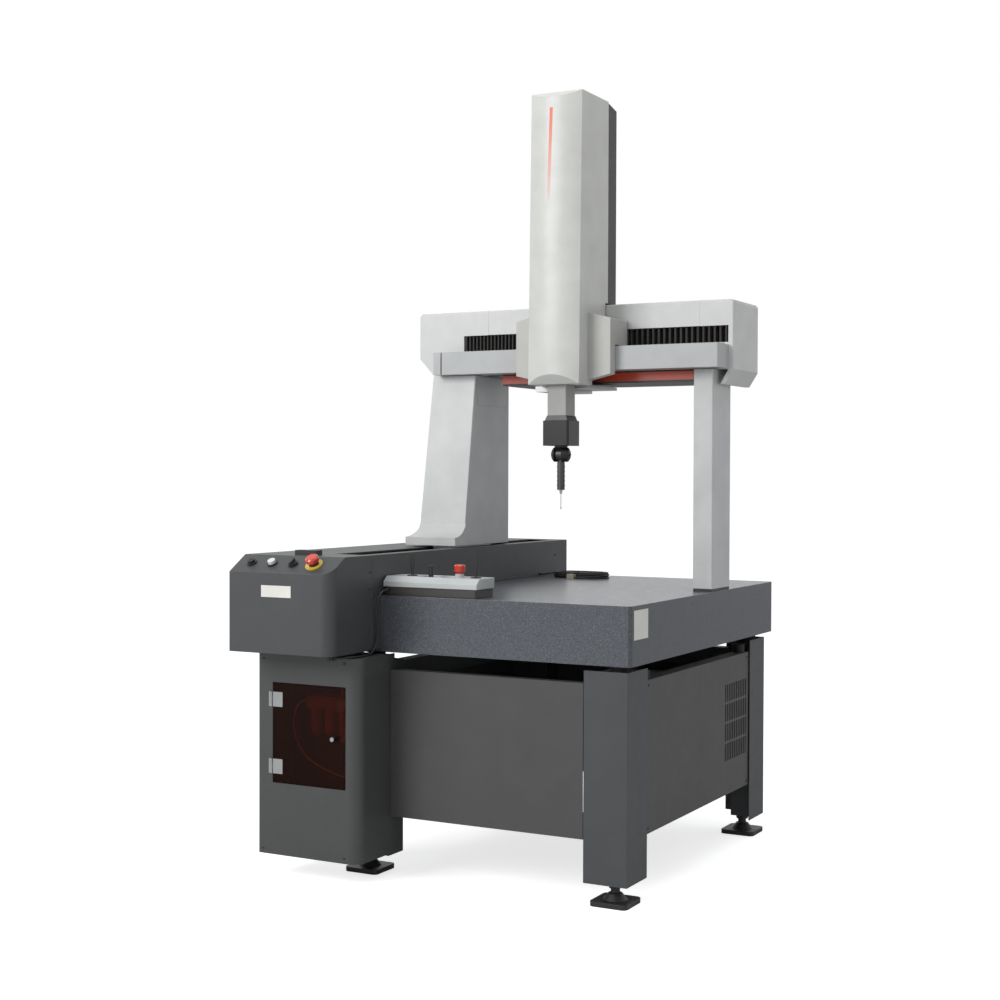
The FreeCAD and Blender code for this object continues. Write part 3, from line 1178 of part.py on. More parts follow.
def column_side(inset):
    """Side outline of the column cover, with slanting top and bottom of its bulge."""
    s = inset
    y_low, y_high = COL_FRONT_BOTTOM_Y, COL_FRONT_TOP_Y
    far = 4 * COL_BULGE
    rise, drop = COL_BOTTOM_SLANT / COL_BULGE * far, COL_TOP_SLANT / COL_BULGE * far
    ledge = STRIP_Z1 + LEDGE_GAP
    over_beam = COVER_TOP + COVER_GAP
    low_back = STRIP_Y0 - COVER_GAP
    outline = [(low_back, COL_Z0), (y_low, COL_Z0), (y_low - far, COL_Z0 + rise),
               (y_high - far, COL_Z1 - s - drop), (y_high, COL_Z1 - s), (COL_BACK_Y, COL_Z1 - s),
               (COL_BACK_Y, over_beam), (COVER_Y0 - COVER_GAP, over_beam), (COVER_Y0 - COVER_GAP, ledge),
               (low_back, ledge)]
    return profile_yz(outline, COL_X0 - 1, COL_X1 + 1)


def column_hull(inset):
    """Full-length loft of the column's section, longer than the cover at both ends."""
    lean = (COL_FRONT_TOP_Y - COL_FRONT_BOTTOM_Y) / COL_H
    over = 2 * COL_BOTTOM_SLANT
    low = column_section(COL_FRONT_BOTTOM_Y - lean * over, inset, COL_Z0 - over)
    high = column_section(COL_FRONT_TOP_Y + lean * over, inset, COL_Z1 + over)
    return Part.makeLoft([low, high], True, True)


def column_cover():
    """Tall cover of the Z axis: a leaning, bulging front on flat sides, and a floor."""
    outer = column_hull(0).common(column_side(0))
    room = column_hull(SKIN)
    shell = outer.cut(room.common(column_side(SKIN)))
    return fuse([shell, column_floor(room)])


def column_floor(room):
    """Plate under the column and its bulge, with the opening for the ram."""
    far = 4 * COL_BULGE
    rise = COL_BOTTOM_SLANT / COL_BULGE * far
    y0, z0, t = COL_FRONT_BOTTOM_Y, COL_Z0, SHEET
    plate = [(BACKBONE_Y0, z0), (y0, z0), (y0 - far, z0 + rise), (y0 - far, z0 + rise + t), (y0, z0 + t),
             (BACKBONE_Y0, z0 + t)]
    floor = profile_yz(plate, COL_X0 - 1, COL_X1 + 1).common(room)
    half = RAM_SIDE / 2 + LEDGE_GAP
    return floor.cut(box(RAM_X - half, RAM_X + half, RAM_Y - half, BACKBONE_Y0, z0 - 1, z0 + 60))


def rear_duct():
    """Dark cable duct behind the column cover."""
    x0, x1 = COL_X0 + DUCT_INSET, COL_X1 - DUCT_INSET
    y0, y1 = COL_BACK_Y, COL_BACK_Y + DUCT_D
    z0, z1 = COVER_TOP + COVER_GAP, COL_Z1 - SKIN
    outline = [(y0, z0), (y0, z1), (y1, z1 - DUCT_CHAMFER), (y1, z0)]
    outer = profile_yz(outline, x0, x1)
    s = SKIN
    inside = [(y0, z0), (y0, z1 - s), (y1 - s, z1 - DUCT_CHAMFER - s), (y1 - s, z0)]
    return outer.cut(profile_yz(inside, x0 + s, x1 - s))


def wing(side):
    """Side housing of the carriage, on one side of the column."""
    t = SHEET
    inner_x = COL_X1 if side > 0 else COL_X0
    outer_x = inner_x + side * WING_X
    z_top_in, z_top_out = LEG_TOP + WING_TOP_INNER, LEG_TOP + WING_TOP_OUTER
    z_low_in, z_low_out = LEG_TOP - WING_BOTTOM_INNER, LEG_TOP - WING_BOTTOM_OUTER
    outline = [(inner_x, z_low_in), (outer_x, z_low_out), (outer_x, z_top_out), (inner_x, z_top_in)]
    y0, y1 = WING_FRONT_Y, COVER_Y0 - COVER_GAP
    ledge = STRIP_Z1 + LEDGE_GAP
    outer = profile_xz(outline, y0, y1)
    inside = [(inner_x, z_low_in + t), (outer_x - side * t, z_low_out + t),
              (outer_x - side * t, z_top_out - t), (inner_x, z_top_in - t)]
    shell = outer.cut(profile_xz(inside, y0 + t, y1))
    near, far = min(inner_x, outer_x) - 1, max(inner_x, outer_x) + 1
    return shell.cut(box(near, far, STRIP_Y0 - 2, y1 + 1, LEG_TOP - 2 * WING_BOTTOM_INNER, ledge))


def carriage_wings():
    """Left and right side housings."""
    return group([wing(-1), wing(1)])


def carriage_saddle():
    """Cast saddle round the beam, with the arm that reaches through the window."""
    x0, x1 = SADDLE_X0, SADDLE_X0 + SADDLE_W
    t, g = SADDLE_T, SLIDE_GAP
    z_arm0, z_arm1 = WINDOW_Z0 + LEDGE_GAP, WINDOW_Z1 - LEDGE_GAP
    z_low, z_top = BEAM_TOP - SADDLE_DROP, BEAM_TOP + g + t
    y_plate = COVER_Y0 + SKIN + BELLOWS_GAP + BELLOWS_D
    y_back = BEAM_Y1 + SCALE_T + g
    front = box(x0, x1, y_plate, BEAM_Y0 - g, z_low, z_top)
    top = box(x0, x1, y_plate, y_back + t, BEAM_TOP + g, z_top)
    back = box(x0, x1, y_back, y_back + t, z_low, z_top)
    window_arm = box(WING_X0, WING_X1, COVER_Y0 + SKIN / 2, y_plate, z_arm0, z_arm1)
    arm = box(COL_X0 + BACKBONE_INSET, COL_X1 - BACKBONE_INSET, BACKBONE_Y1, y_plate, z_arm0, z_arm1)
    return fuse([front, top, back, window_arm, arm, z_backbone(), carriage_foot()])


def z_backbone():
    """Upright plate behind the ram."""
    x0, x1 = COL_X0 + BACKBONE_INSET, COL_X1 - BACKBONE_INSET
    return box(x0, x1, BACKBONE_Y0, BACKBONE_Y1, COL_Z0, COL_Z0 + BACKBONE_H)


def carriage_foot():
    """Dark foot of the carriage, which reaches back under the beam."""
    plate = box(FOOT_PLATE_X0, COL_X1, BACKBONE_Y0, FOOT_PLATE_Y1, COL_Z0 - FOOT_PLATE_T, COL_Z0)
    step = box(COL_MID_X, COL_X1, BACKBONE_Y0, FOOT_PLATE_Y1, COL_Z0 - FOOT_PLATE_T, COL_Z0 - FOOT_PLATE_THIN)
    return plate.cut(step)


def x_drive_unit():
    """Sealed friction drive of the X axis, on top of the saddle."""
    z0 = BEAM_TOP + SLIDE_GAP + SADDLE_T
    x, y = SADDLE_X0 + SADDLE_W / 2, BEAM_Y0 + BEAM_D / 2
    case = box(x - 45, x + 45, y - 45, y + 45, z0, z0 + 18)
    motor = box(x - 100, x - 45, y - 22, y + 22, z0, z0 + 40)
    return fuse([case, motor])


def z_bearing_blocks():
    """Two blocks with a square bore that guide the ram."""
    half, bore = BLOCK_SIDE / 2, RAM_SIDE / 2 + SLIDE_GAP
    front = RAM_Y - RAM_SIDE / 2 - 10
    blocks = []
    for k in range(2):
        z0 = COL_Z0 + BLOCK_LOW_RISE + k * BLOCK_PITCH
        block = box(RAM_X - half, RAM_X + half, front, BACKBONE_Y0, z0, z0 + BLOCK_H)
        blocks.append(block.cut(box(RAM_X - bore, RAM_X + bore, RAM_Y - bore, RAM_Y + bore, z0, z0 + BLOCK_H)))
    return group(blocks)


def z_drive_unit():
    """Motor unit of the Z axis, behind the backbone above the beam."""
    z0 = COVER_TOP + 2 * COVER_GAP + 30
    case = box(COL_MID_X - 45, COL_MID_X + 45, BACKBONE_Y1, BACKBONE_Y1 + 50, z0, z0 + 110)
    motor = rod(24, (COL_MID_X, BACKBONE_Y1 + 30, z0 + 110), (COL_MID_X, BACKBONE_Y1 + 30, z0 + 190))
    return fuse([case, motor])


def balance_rod():
    """Rod of the counterbalance, hung inside the hollow ram."""
    z1 = COL_Z1 - SKIN
    return rod(BALANCE_ROD_R, (RAM_X, RAM_Y, z1 - BALANCE_ROD_LEN), (RAM_X, RAM_Y, z1))


# ================================================================ ram and head
def ram_tube():
    """Hollow square ram, closed below, with a bored plug above."""
    half, w = RAM_SIDE / 2, RAM_WALL
    outer = box(RAM_X - half, RAM_X + half, RAM_Y - half, RAM_Y + half, RAM_LOW_Z, RAM_TOP)
    corners = [(RAM_X + i * half, RAM_Y + j * half) for i in (-1, 1) for j in (-1, 1)]
    outer = outer.makeChamfer(2.0, upright_edges(outer, corners))
    inner = box(RAM_X - half + w, RAM_X + half - w, RAM_Y - half + w, RAM_Y + half - w,
                RAM_LOW_Z + 2 * w, RAM_TOP - 2 * w)
    bore = rod(BALANCE_ROD_R + SLIDE_GAP, (RAM_X, RAM_Y, RAM_TOP - 3 * w), (RAM_X, RAM_Y, RAM_TOP))
    return outer.cut(inner).cut(bore)


def probe_adapter():
    """Black head adapter: a box with a tapering shoulder."""
    hx, hy = ADAPTER_W / 2, ADAPTER_D / 2
    z0, z1 = ADAPTER_Z0, ADAPTER_Z0 + ADAPTER_H
    body = rounded_box(RAM_X - hx, RAM_X + hx, RAM_Y - hy, RAM_Y + hy, z0, z1, 6.0)
    low = Part.makePolygon(square_loop(RAM_X, RAM_Y, hx - 5, hy - 5, z1))
    high = Part.makePolygon(square_loop(RAM_X, RAM_Y, RAM_SIDE / 2 + 1, RAM_SIDE / 2 + 1, RAM_LOW_Z))
    shoulder = Part.makeLoft([low, high], True, True)
    return fuse([body, shoulder])


def square_loop(x, y, hx, hy, z):
    """Closed rectangle of points round a centre."""
    ring = [Vec(x + i * hx, y + j * hy, z) for i, j in ((-1, -1), (1, -1), (1, 1), (-1, 1))]
    return ring + ring[:1]


def head_ball():
    """Turning ball of the head: a fork of two cheeks round the tilt hub."""
    centre = Vec(RAM_X, RAM_Y, BALL_Z)
    ball = Part.makeSphere(BALL_R, centre)
    band = box(RAM_X - BALL_R, RAM_X + BALL_R, RAM_Y - BALL_R, RAM_Y + BALL_R,
               BALL_Z - BALL_LOW, BALL_Z + BALL_TOP)
    ball = ball.common(band)
    neck = rod(NECK_R, (RAM_X, RAM_Y, BALL_Z + BALL_TOP), (RAM_X, RAM_Y, NECK_Z1))
    half = FORK_GAP / 2
    room = TILT_HUB_R + 2 * SLIDE_GAP
    slot = box(RAM_X - half, RAM_X + half, RAM_Y - BALL_R, RAM_Y + BALL_R, BALL_Z - BALL_R, BALL_Z)
    round_slot = rod(room, (RAM_X - half, RAM_Y, BALL_Z), (RAM_X + half, RAM_Y, BALL_Z))
    swing = PROBE_R + 3
    front_slot = box(RAM_X - half, RAM_X + half, RAM_Y - BALL_R, RAM_Y, BALL_Z - 1, BALL_Z + swing)
    relief = box(RAM_X - PROBE_RING_R, RAM_X + PROBE_RING_R, RAM_Y - BALL_R, RAM_Y, BALL_Z - BALL_R, BALL_Z + swing)
    relief = relief.cut(rod(PROBE_TOP_DROP - SLIDE_GAP, (RAM_X - BALL_R, RAM_Y, BALL_Z), (RAM_X + BALL_R, RAM_Y, BALL_Z)))
    bore = rod(TILT_PIN_R + PIN_GAP, (RAM_X - BALL_R, RAM_Y, BALL_Z), (RAM_X + BALL_R, RAM_Y, BALL_Z))
    return fuse([ball, neck]).cut(slot).cut(round_slot).cut(front_slot).cut(relief).cut(bore)


def tilt_hub():
    """Disc and pin of the tilting part, with the socket for the probe."""
    half = FORK_GAP / 2 - SLIDE_GAP
    disc = rod(TILT_HUB_R, (RAM_X - half, RAM_Y, BALL_Z), (RAM_X + half, RAM_Y, BALL_Z))
    pin = rod(TILT_PIN_R, (RAM_X - BALL_R + 5, RAM_Y, BALL_Z), (RAM_X + BALL_R - 5, RAM_Y, BALL_Z))
    socket = rod(half, (RAM_X, RAM_Y, PROBE_Z1), (RAM_X, RAM_Y, BALL_Z))
    return fuse([disc, pin, socket])


def probe_body():
    """Tilt hub with the probe below it: a slim barrel with rings."""
    barrel = rod(PROBE_R, (RAM_X, RAM_Y, PROBE_Z0), (RAM_X, RAM_Y, PROBE_Z1))
    rings = []
    pitch = PROBE_LEN / (PROBE_RINGS + 1)
    for k in range(1, PROBE_RINGS + 1):
        z = PROBE_Z0 + k * pitch
        rings.append(rod(PROBE_RING_R, (RAM_X, RAM_Y, z - 2), (RAM_X, RAM_Y, z + 2)))
    return fuse([tilt_hub(), barrel] + rings)


def stylus_carrier():
    """Small kinematic plate under the probe."""
    return rod(CARRIER_R, (RAM_X, RAM_Y, STYLUS_Z1), (RAM_X, RAM_Y, CARRIER_Z1))


def stylus():
    """Stylus with a threaded base, a thin stem and a ruby ball."""
    base_z = STYLUS_Z1 - STYLUS_BASE_H
    ball_z = STYLUS_Z1 - STYLUS_LEN + STYLUS_BALL_R
    base = rod(STYLUS_BASE_R, (RAM_X, RAM_Y, base_z), (RAM_X, RAM_Y, STYLUS_Z1))
    stem = rod(STYLUS_STEM_R, (RAM_X, RAM_Y, ball_z), (RAM_X, RAM_Y, base_z))
    ball = Part.makeSphere(STYLUS_BALL_R, Vec(RAM_X, RAM_Y, ball_z))
    return fuse([base, stem, ball])


# ================================================================ pendant
def pendant_base():
    """Dark lower half of the joystick box."""
    i = PEND_INSET
    return rounded_box(PEND_X0 + i, PEND_X1 - i, PEND_Y0 + i, PEND_Y1 - i, TABLE_TOP, PEND_BASE_TOP, 6.0)


def pendant_side():
    """Side outline of the pendant's upper half."""
    z0, z1 = PEND_BASE_TOP, PEND_BASE_TOP + PEND_SKIRT_H
    return [(PEND_Y0, z0), (PEND_Y0, z1), (PEND_Y0 + PEND_SLOPE, PEND_TOP), (PEND_Y1, PEND_TOP),
            (PEND_Y1, z0)]


def pendant_cover():
    """Light upper half with a sunken keypad and the holes of the controls."""
    shell = profile_yz(pendant_side(), PEND_X0, PEND_X1)
    shell = shell.makeFillet(10.0, upright_edges(shell, [(PEND_X0, PEND_Y1), (PEND_X1, PEND_Y1)]))
    y1 = PEND_Y1 - PEND_WELL_MARGIN
    z0 = PEND_TOP - PEND_WELL_DEPTH
    well = box(PEND_WELL_X0, PEND_WELL_X0 + PEND_WELL_W, y1 - PEND_WELL_D, y1, z0, PEND_TOP)
    shell = shell.cut(well)
    for x in (STICK_LEFT_X, STICK_RIGHT_X):
        low_z = PEND_TOP - STICK_HOLE_H
        shell = shell.cut(cone(0.75 * STICK_HOLE_R, STICK_HOLE_R, (x, STICK_Y, low_z), STICK_HOLE_H))
    return fuse([shell, stop_sleeve()])


def stop_sleeve():
    """Sleeve in which the pendant's stop button slides."""
    low = (PEND_ESTOP_X, STICK_Y, PEND_TOP)
    high = (PEND_ESTOP_X, STICK_Y, PEND_TOP + 2 * ESTOP_TRAVEL)
    stem_r = 0.6 * PEND_ESTOP_R
    return rod(stem_r + SKIN, low, high).cut(rod(stem_r + SLIDE_GAP, low, high))


def pendant_stick(x):
    """Stick with a thick foot to swivel on and a grip that widens upwards."""
    foot_r = 1.3 * STICK_R
    z0 = PEND_TOP - STICK_HOLE_H + SLIDE_GAP
    bowl = cone(0.3 * STICK_R, foot_r, (x, STICK_Y, z0), foot_r)
    dome = cone(foot_r, 0.7 * STICK_R, (x, STICK_Y, z0 + foot_r), foot_r)
    shaft = rod(0.7 * STICK_R, (x, STICK_Y, z0 + foot_r), (x, STICK_Y, z0 + STICK_H))
    grip = cone(0.8 * STICK_R, STICK_R, (x, STICK_Y, z0 + 0.35 * STICK_H), 0.65 * STICK_H)
    return fuse([bowl, dome, shaft, grip])


def pendant_stick_left():
    """Left stick of the pendant."""
    return pendant_stick(STICK_LEFT_X)


def pendant_stick_right():
    """Right stick of the pendant."""
    return pendant_stick(STICK_RIGHT_X)


def pendant_dial():
    """Slim override knob that stands in the keypad."""
    z0 = PEND_TOP - PEND_WELL_DEPTH
    return rod(DIAL_R, (DIAL_X, STICK_Y, z0 + SLIDE_GAP), (DIAL_X, STICK_Y, z0 + DIAL_H))


def pendant_estop():
    """Red stop button of the pendant."""
    z0 = PEND_TOP + ESTOP_TRAVEL + SLIDE_GAP
    z1 = PEND_TOP + PEND_ESTOP_H
    stem = rod(0.6 * PEND_ESTOP_R, (PEND_ESTOP_X, STICK_Y, z0), (PEND_ESTOP_X, STICK_Y, z1 - 1))
    head = rod(PEND_ESTOP_R, (PEND_ESTOP_X, STICK_Y, z1 - PEND_ESTOP_HEAD), (PEND_ESTOP_X, STICK_Y, z1))
    return fuse([stem, head.makeChamfer(4, [upper_rim(head)])])


def pendant_gland():
    """Cable gland on the pendant's front, near its left end."""
    start = CORD_ROUTE[0]
    return rod(GLAND_R, start, (start[0], start[1] + GLAND_L, start[2]))


def cord_socket():
    """Strain relief under the control box, where the cord ends."""
    end = Vec(*CORD_ROUTE[-1])
    along = (end - Vec(*CORD_ROUTE[-2])).normalize()
    body = Part.makeCylinder(GLAND_R, 2 * GLAND_L, end, along)
    middle = end + along * (1.2 * GLAND_L)
    block = box(middle.x - 8, middle.x + 8, middle.y - 8, middle.y + 8, end.z - 3, HOUSING_Z0)
    return fuse([body, block])


def lead_grommet():
    """Grommet of the sensor lead in the housing wall."""
    start = LEAD_ROUTE[0]
    return rod(2 * LEAD_R, (HOUSING_X1, start[1], start[2]), start)


def pendant_cord():
    """Cord of the pendant, over the table's edge and under the control box."""
    return cord_tube("pendant_cord", CORD_ROUTE, CORD_R)


# ================================================================ sensor on the table
def hank_path():
    """Closed oval centre line of the coiled lead."""
    z = TABLE_TOP + HANK_R
    x0, y = LEAD_ROUTE[-1][0] + SLIDE_GAP, LEAD_ROUTE[-1][1]
    radius = HANK_W / 2 - HANK_R
    xa, xb = x0 + HANK_W / 2, x0 + HANK_L - HANK_W / 2
    left = Part.Arc(Vec(xa, y + radius, z), Vec(xa - radius, y, z), Vec(xa, y - radius, z))
    right = Part.Arc(Vec(xb, y - radius, z), Vec(xb + radius, y, z), Vec(xb, y + radius, z))
    front = Part.LineSegment(Vec(xa, y - radius, z), Vec(xb, y - radius, z))
    back = Part.LineSegment(Vec(xb, y + radius, z), Vec(xa, y + radius, z))
    return Part.Wire([left.toShape(), front.toShape(), right.toShape(), back.toShape()])


def sensor_hank():
    """Outer shape of the coiled sensor lead, with a flat side on the table."""
    path = hank_path()
    start = path.Edges[0].Vertexes[0].Point
    step = 2 * math.pi / HANK_SIDES
    corner_r = HANK_R / math.cos(step / 2)
    turns = [(k + 0.5) * step - math.pi / 2 for k in range(HANK_SIDES)]
    ring = [start + Vec(0, corner_r * math.cos(a), corner_r * math.sin(a)) for a in turns]
    section = Part.makePolygon(ring + ring[:1])
    return path.makePipeShell([section], True, True)


def sensor_block():
    """Small sensor plug in front of the coiled lead."""
    return box(PLUG_X0, PLUG_X0 + PLUG_W, PLUG_Y0, PLUG_Y0 + PLUG_D, TABLE_TOP, TABLE_TOP + PLUG_H)


def sensor_lead():
    """Free end of the lead, from the housing to the coil."""
    return cord_tube("sensor_lead", LEAD_ROUTE, LEAD_R)


# ================================================================ nodes
NODES = {
    "levelling_feet": [levelling_pads, levelling_screws],
    "stand_frame": [stand_posts, stand_rails, equipment_shelf],
    "corner_covers": [corner_covers],
    "isolators": [isolators, table_stops],
    "stand_panels": [front_panel, rear_panels],
    "right_panel": [right_panel],
    "controller_unit": [controller_unit],
    "granite_table": [granite_table],
    "table_inserts": [table_inserts],
    "y_guide_rail": [y_guide_rail, y_scale, y_drive_bar],
    "guide_housing": [housing_left, housing_right, housing_rear],
    "slot_seals": [slot_seals],
    "control_box": [control_box],
    "panel_bezels": [panel_bezels, end_stop_bracket],
    "estop_collar": [estop_collar],
    "cabinet_shell": [cabinet_shell],
    "cabinet_fittings": [cabinet_hinge_leaves, door_catch, hose_fitting],
    "air_filter_unit": [air_filter_unit],
    "pressure_gauge": [pressure_gauge],
    "air_hose": [air_hose],
    "key_switch": [key_switch],
    "start_button": [start_button],
    "mode_knob": [mode_knob],
    "estop_button": [estop_button],
    "door_panel": [door_panel],
    "door_fittings": [door_hinge_leaves, door_pull],
    "y_carriage": [y_carriage, y_drive_unit],
    "air_bearings": [guide_air_bearings, right_air_bearing],
    "left_column": [left_column, column_access_cover],
    "right_column": [right_column],
    "x_beam": [x_beam, x_scale, cover_braces, strip_brackets],
    "beam_cover": [beam_cover],
    "beam_end_caps": [beam_end_left, beam_end_right],
    "beam_front_strip": [beam_front_strip, strip_ends],
    "under_beam_tray": [under_beam_tray],
    "accent_rail": [accent_rail],
    "bellows_left": [bellows_left],
    "bellows_right": [bellows_right],
    "carriage_saddle": [carriage_saddle],
    "carriage_wings": [carriage_wings],
    "column_cover": [column_cover],
    "rear_duct": [rear_duct],
    "z_guides": [z_bearing_blocks, balance_rod],
    "drive_units": [x_drive_unit, z_drive_unit],
    "ram_tube": [ram_tube],
    "probe_adapter": [probe_adapter],
    "head_ball": [head_ball],
    "probe_body": [probe_body],
    "stylus": [stylus_carrier, stylus],
    "pendant_base": [pendant_base],
    "pendant_cover": [pendant_cover],
    "pendant_stick_left": [pendant_stick_left],
    "pendant_stick_right": [pendant_stick_right],
    "pendant_dial": [pendant_dial],
    "pendant_estop": [pendant_estop],
    "cord_glands": [pendant_gland, cord_socket, lead_grommet],
    "pendant_cord": [pendant_cord],
    "sensor_hank": [sensor_hank],
    "sensor_lead": [sensor_lead],
    "sensor_block": [sensor_block],
}


def solids_of(makers):
    """All solids made by a node's functions."""
    found = []
    for maker in makers:
        found.extend(maker().Solids)
    return found


os.makedirs("parts", exist_ok=True)
for name, makers in NODES.items():
    solids = solids_of(makers)
    shape = solids[0] if len(solids) == 1 else group(solids)
    valid = all(solid.isValid() for solid in solids)
    print(f"{name}: {len(solids)} solids, valid {valid}, volume {shape.Volume / 1000:.1f} cm3")
    shape.exportStep(f"parts/{name}.step")
print(f"{len(NODES)} nodes")
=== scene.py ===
"""Moving-bridge coordinate measuring machine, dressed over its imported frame."""

import json
import logging
import math
from dataclasses import dataclass, field
from enum import Enum
from typing import Any, Optional, Sequence

import bpy
from mathutils import Matrix, Vector


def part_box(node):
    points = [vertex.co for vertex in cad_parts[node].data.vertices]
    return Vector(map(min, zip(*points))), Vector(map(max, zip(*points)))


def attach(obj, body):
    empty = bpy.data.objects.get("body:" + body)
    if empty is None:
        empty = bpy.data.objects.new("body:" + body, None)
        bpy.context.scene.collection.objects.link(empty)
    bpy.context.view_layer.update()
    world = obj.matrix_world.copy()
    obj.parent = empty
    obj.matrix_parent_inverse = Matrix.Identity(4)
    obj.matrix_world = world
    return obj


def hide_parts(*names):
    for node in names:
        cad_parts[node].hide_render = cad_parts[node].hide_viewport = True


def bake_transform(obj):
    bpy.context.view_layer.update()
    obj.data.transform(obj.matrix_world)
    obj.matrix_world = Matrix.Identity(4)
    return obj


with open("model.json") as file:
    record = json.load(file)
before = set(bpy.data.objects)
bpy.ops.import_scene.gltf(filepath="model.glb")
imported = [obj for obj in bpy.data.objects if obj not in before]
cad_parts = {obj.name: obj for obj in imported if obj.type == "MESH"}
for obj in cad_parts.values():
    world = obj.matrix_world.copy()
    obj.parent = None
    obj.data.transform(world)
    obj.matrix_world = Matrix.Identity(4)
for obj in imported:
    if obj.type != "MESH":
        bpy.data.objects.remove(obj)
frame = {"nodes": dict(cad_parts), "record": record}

LOG = logging.getLogger("measuring_machine")
MM = 0.001

Point = tuple[float, float, float]


# ---------------------------------------------------------------- shader helpers
def linear(hex_colour: str) -> tuple[float, float, float, float]:
    """Turns an sRGB hex value into the linear colour that shaders use.

    Args:
        hex_colour: Six hex digits, with or without a leading hash.

    Returns:
        Linear red, green and blue, and an alpha of 1.
    """
    digits = hex_colour.lstrip("#")
    channels = [int(digits[k:k + 2], 16) / 255 for k in (0, 2, 4)]
    lit = [c / 12.92 if c <= 0.04045 else ((c + 0.055) / 1.055) ** 2.4 for c in channels]
    return lit[0], lit[1], lit[2], 1.0


def add_node(
    tree: bpy.types.NodeTree,
    kind: str,
    settings: Optional[dict[str, Any]] = None,
    links: Optional[dict[str, bpy.types.NodeSocket]] = None,
) -> bpy.types.Node:
    """Adds one shader node with its settings and incoming links.

    Args:
        tree: The material's or world's node tree.
        kind: The node's type name.
        settings: Values by attribute name or by input name.
        links: Output sockets by the name of the input that each one feeds.

    Returns:
        The new node.
    """
    node = tree.nodes.new(kind)
    for name, value in (settings or {}).items():
        if name in node.inputs:
            node.inputs[name].default_value = value
        else:
            setattr(node, name, value)
    for name, socket in (links or {}).items():
        tree.links.new(socket, node.inputs[name])
    return node


def fresh_tree(material: bpy.types.Material) -> bpy.types.NodeTree:
    """Empties a material's node tree and returns it."""
    material.use_nodes = True
    material.node_tree.nodes.clear()
    return material.node_tree


# ---------------------------------------------------------------- finishes
@dataclass(frozen=True)
class Finish:
    """A plain surface with fine grain, faint colour drift and a matching bump.

    Attributes:
        name: The material's name.
        colour: Base colour, sRGB hex.
        roughness: Mean roughness.
        metallic: 1 for bare metal, 0 for anything painted or moulded.
        grain_mm: Size of the surface grain.
        relief_mm: Height of the grain.
        drift: How far the colour drifts over some centimetres, from 0 to 1.
        coat: Weight of a clear gloss layer.
    """

    name: str
    colour: str
    roughness: float = 0.5
    metallic: float = 0.0
    grain_mm: float = 1.5
    relief_mm: float = 0.02
    drift: float = 0.06
    coat: float = 0.0

    def material(self) -> bpy.types.Material:
        """Builds the material once and returns it."""
        found = bpy.data.materials.get(self.name)
        if found is not None:
            return found
        material = bpy.data.materials.new(self.name)
        tree = fresh_tree(material)
        self.fill(tree)
        material.diffuse_color = linear(self.colour)
        return material

    def fill(self, tree: bpy.types.NodeTree) -> None:
        """Puts the finish's nodes into an empty tree."""
        place = add_node(tree, "ShaderNodeTexCoord").outputs["Object"]
        colour = self.colour_socket(tree, place)
        shader = self.shader(tree, place, colour)
        add_node(tree, "ShaderNodeOutputMaterial", links={"Surface": shader.outputs["BSDF"]})

    def colour_socket(
        self, tree: bpy.types.NodeTree, place: bpy.types.NodeSocket
    ) -> bpy.types.NodeSocket:
        """Returns the base colour with a slow drift over the surface."""
        cloud = add_node(tree, "ShaderNodeTexNoise", {"Scale": 1 / (90 * MM), "Detail": 3.0},
                         {"Vector": place})
        red, green, blue, _ = linear(self.colour)
        low = tuple(c * (1 - self.drift) for c in (red, green, blue)) + (1.0,)
        high = tuple(min(1.0, c * (1 + self.drift)) for c in (red, green, blue)) + (1.0,)
        ramp = add_node(tree, "ShaderNodeValToRGB", links={"Fac": cloud.outputs["Fac"]})
        ramp.color_ramp.elements[0].position = 0.3
        ramp.color_ramp.elements[0].color = low
        ramp.color_ramp.elements[1].position = 0.7
        ramp.color_ramp.elements[1].color = high
        return ramp.outputs["Color"]

    def bump_socket(
        self, tree: bpy.types.NodeTree, place: bpy.types.NodeSocket
    ) -> bpy.types.NodeSocket:
        """Returns the normal of the fine grain."""
        grain = add_node(tree, "ShaderNodeTexNoise", {"Scale": 1 / (self.grain_mm * MM), "Detail": 2.0},
                         {"Vector": place})
        bump = add_node(tree, "ShaderNodeBump", {"Strength": 0.5, "Distance": self.relief_mm * MM},
                        {"Height": grain.outputs["Fac"]})
        return bump.outputs["Normal"]

    def shader(
        self,
        tree: bpy.types.NodeTree,
        place: bpy.types.NodeSocket,
        colour: bpy.types.NodeSocket,
    ) -> bpy.types.Node:
        """Returns the surface shader, with roughness that varies with handling."""
        wear = add_node(tree, "ShaderNodeTexNoise", {"Scale": 1 / (35 * MM), "Detail": 4.0},
                        {"Vector": place})
        spread = add_node(tree, "ShaderNodeMapRange",
                          {"To Min": max(0.02, self.roughness - 0.06), "To Max": self.roughness + 0.06},
                          {"Value": wear.outputs["Fac"]})
        return add_node(
            tree, "ShaderNodeBsdfPrincipled",
            {"Metallic": self.metallic, "Coat Weight": self.coat, "Coat Roughness": 0.08},
            {"Base Color": colour, "Roughness": spread.outputs["Result"],
             "Normal": self.bump_socket(tree, place)},
        )


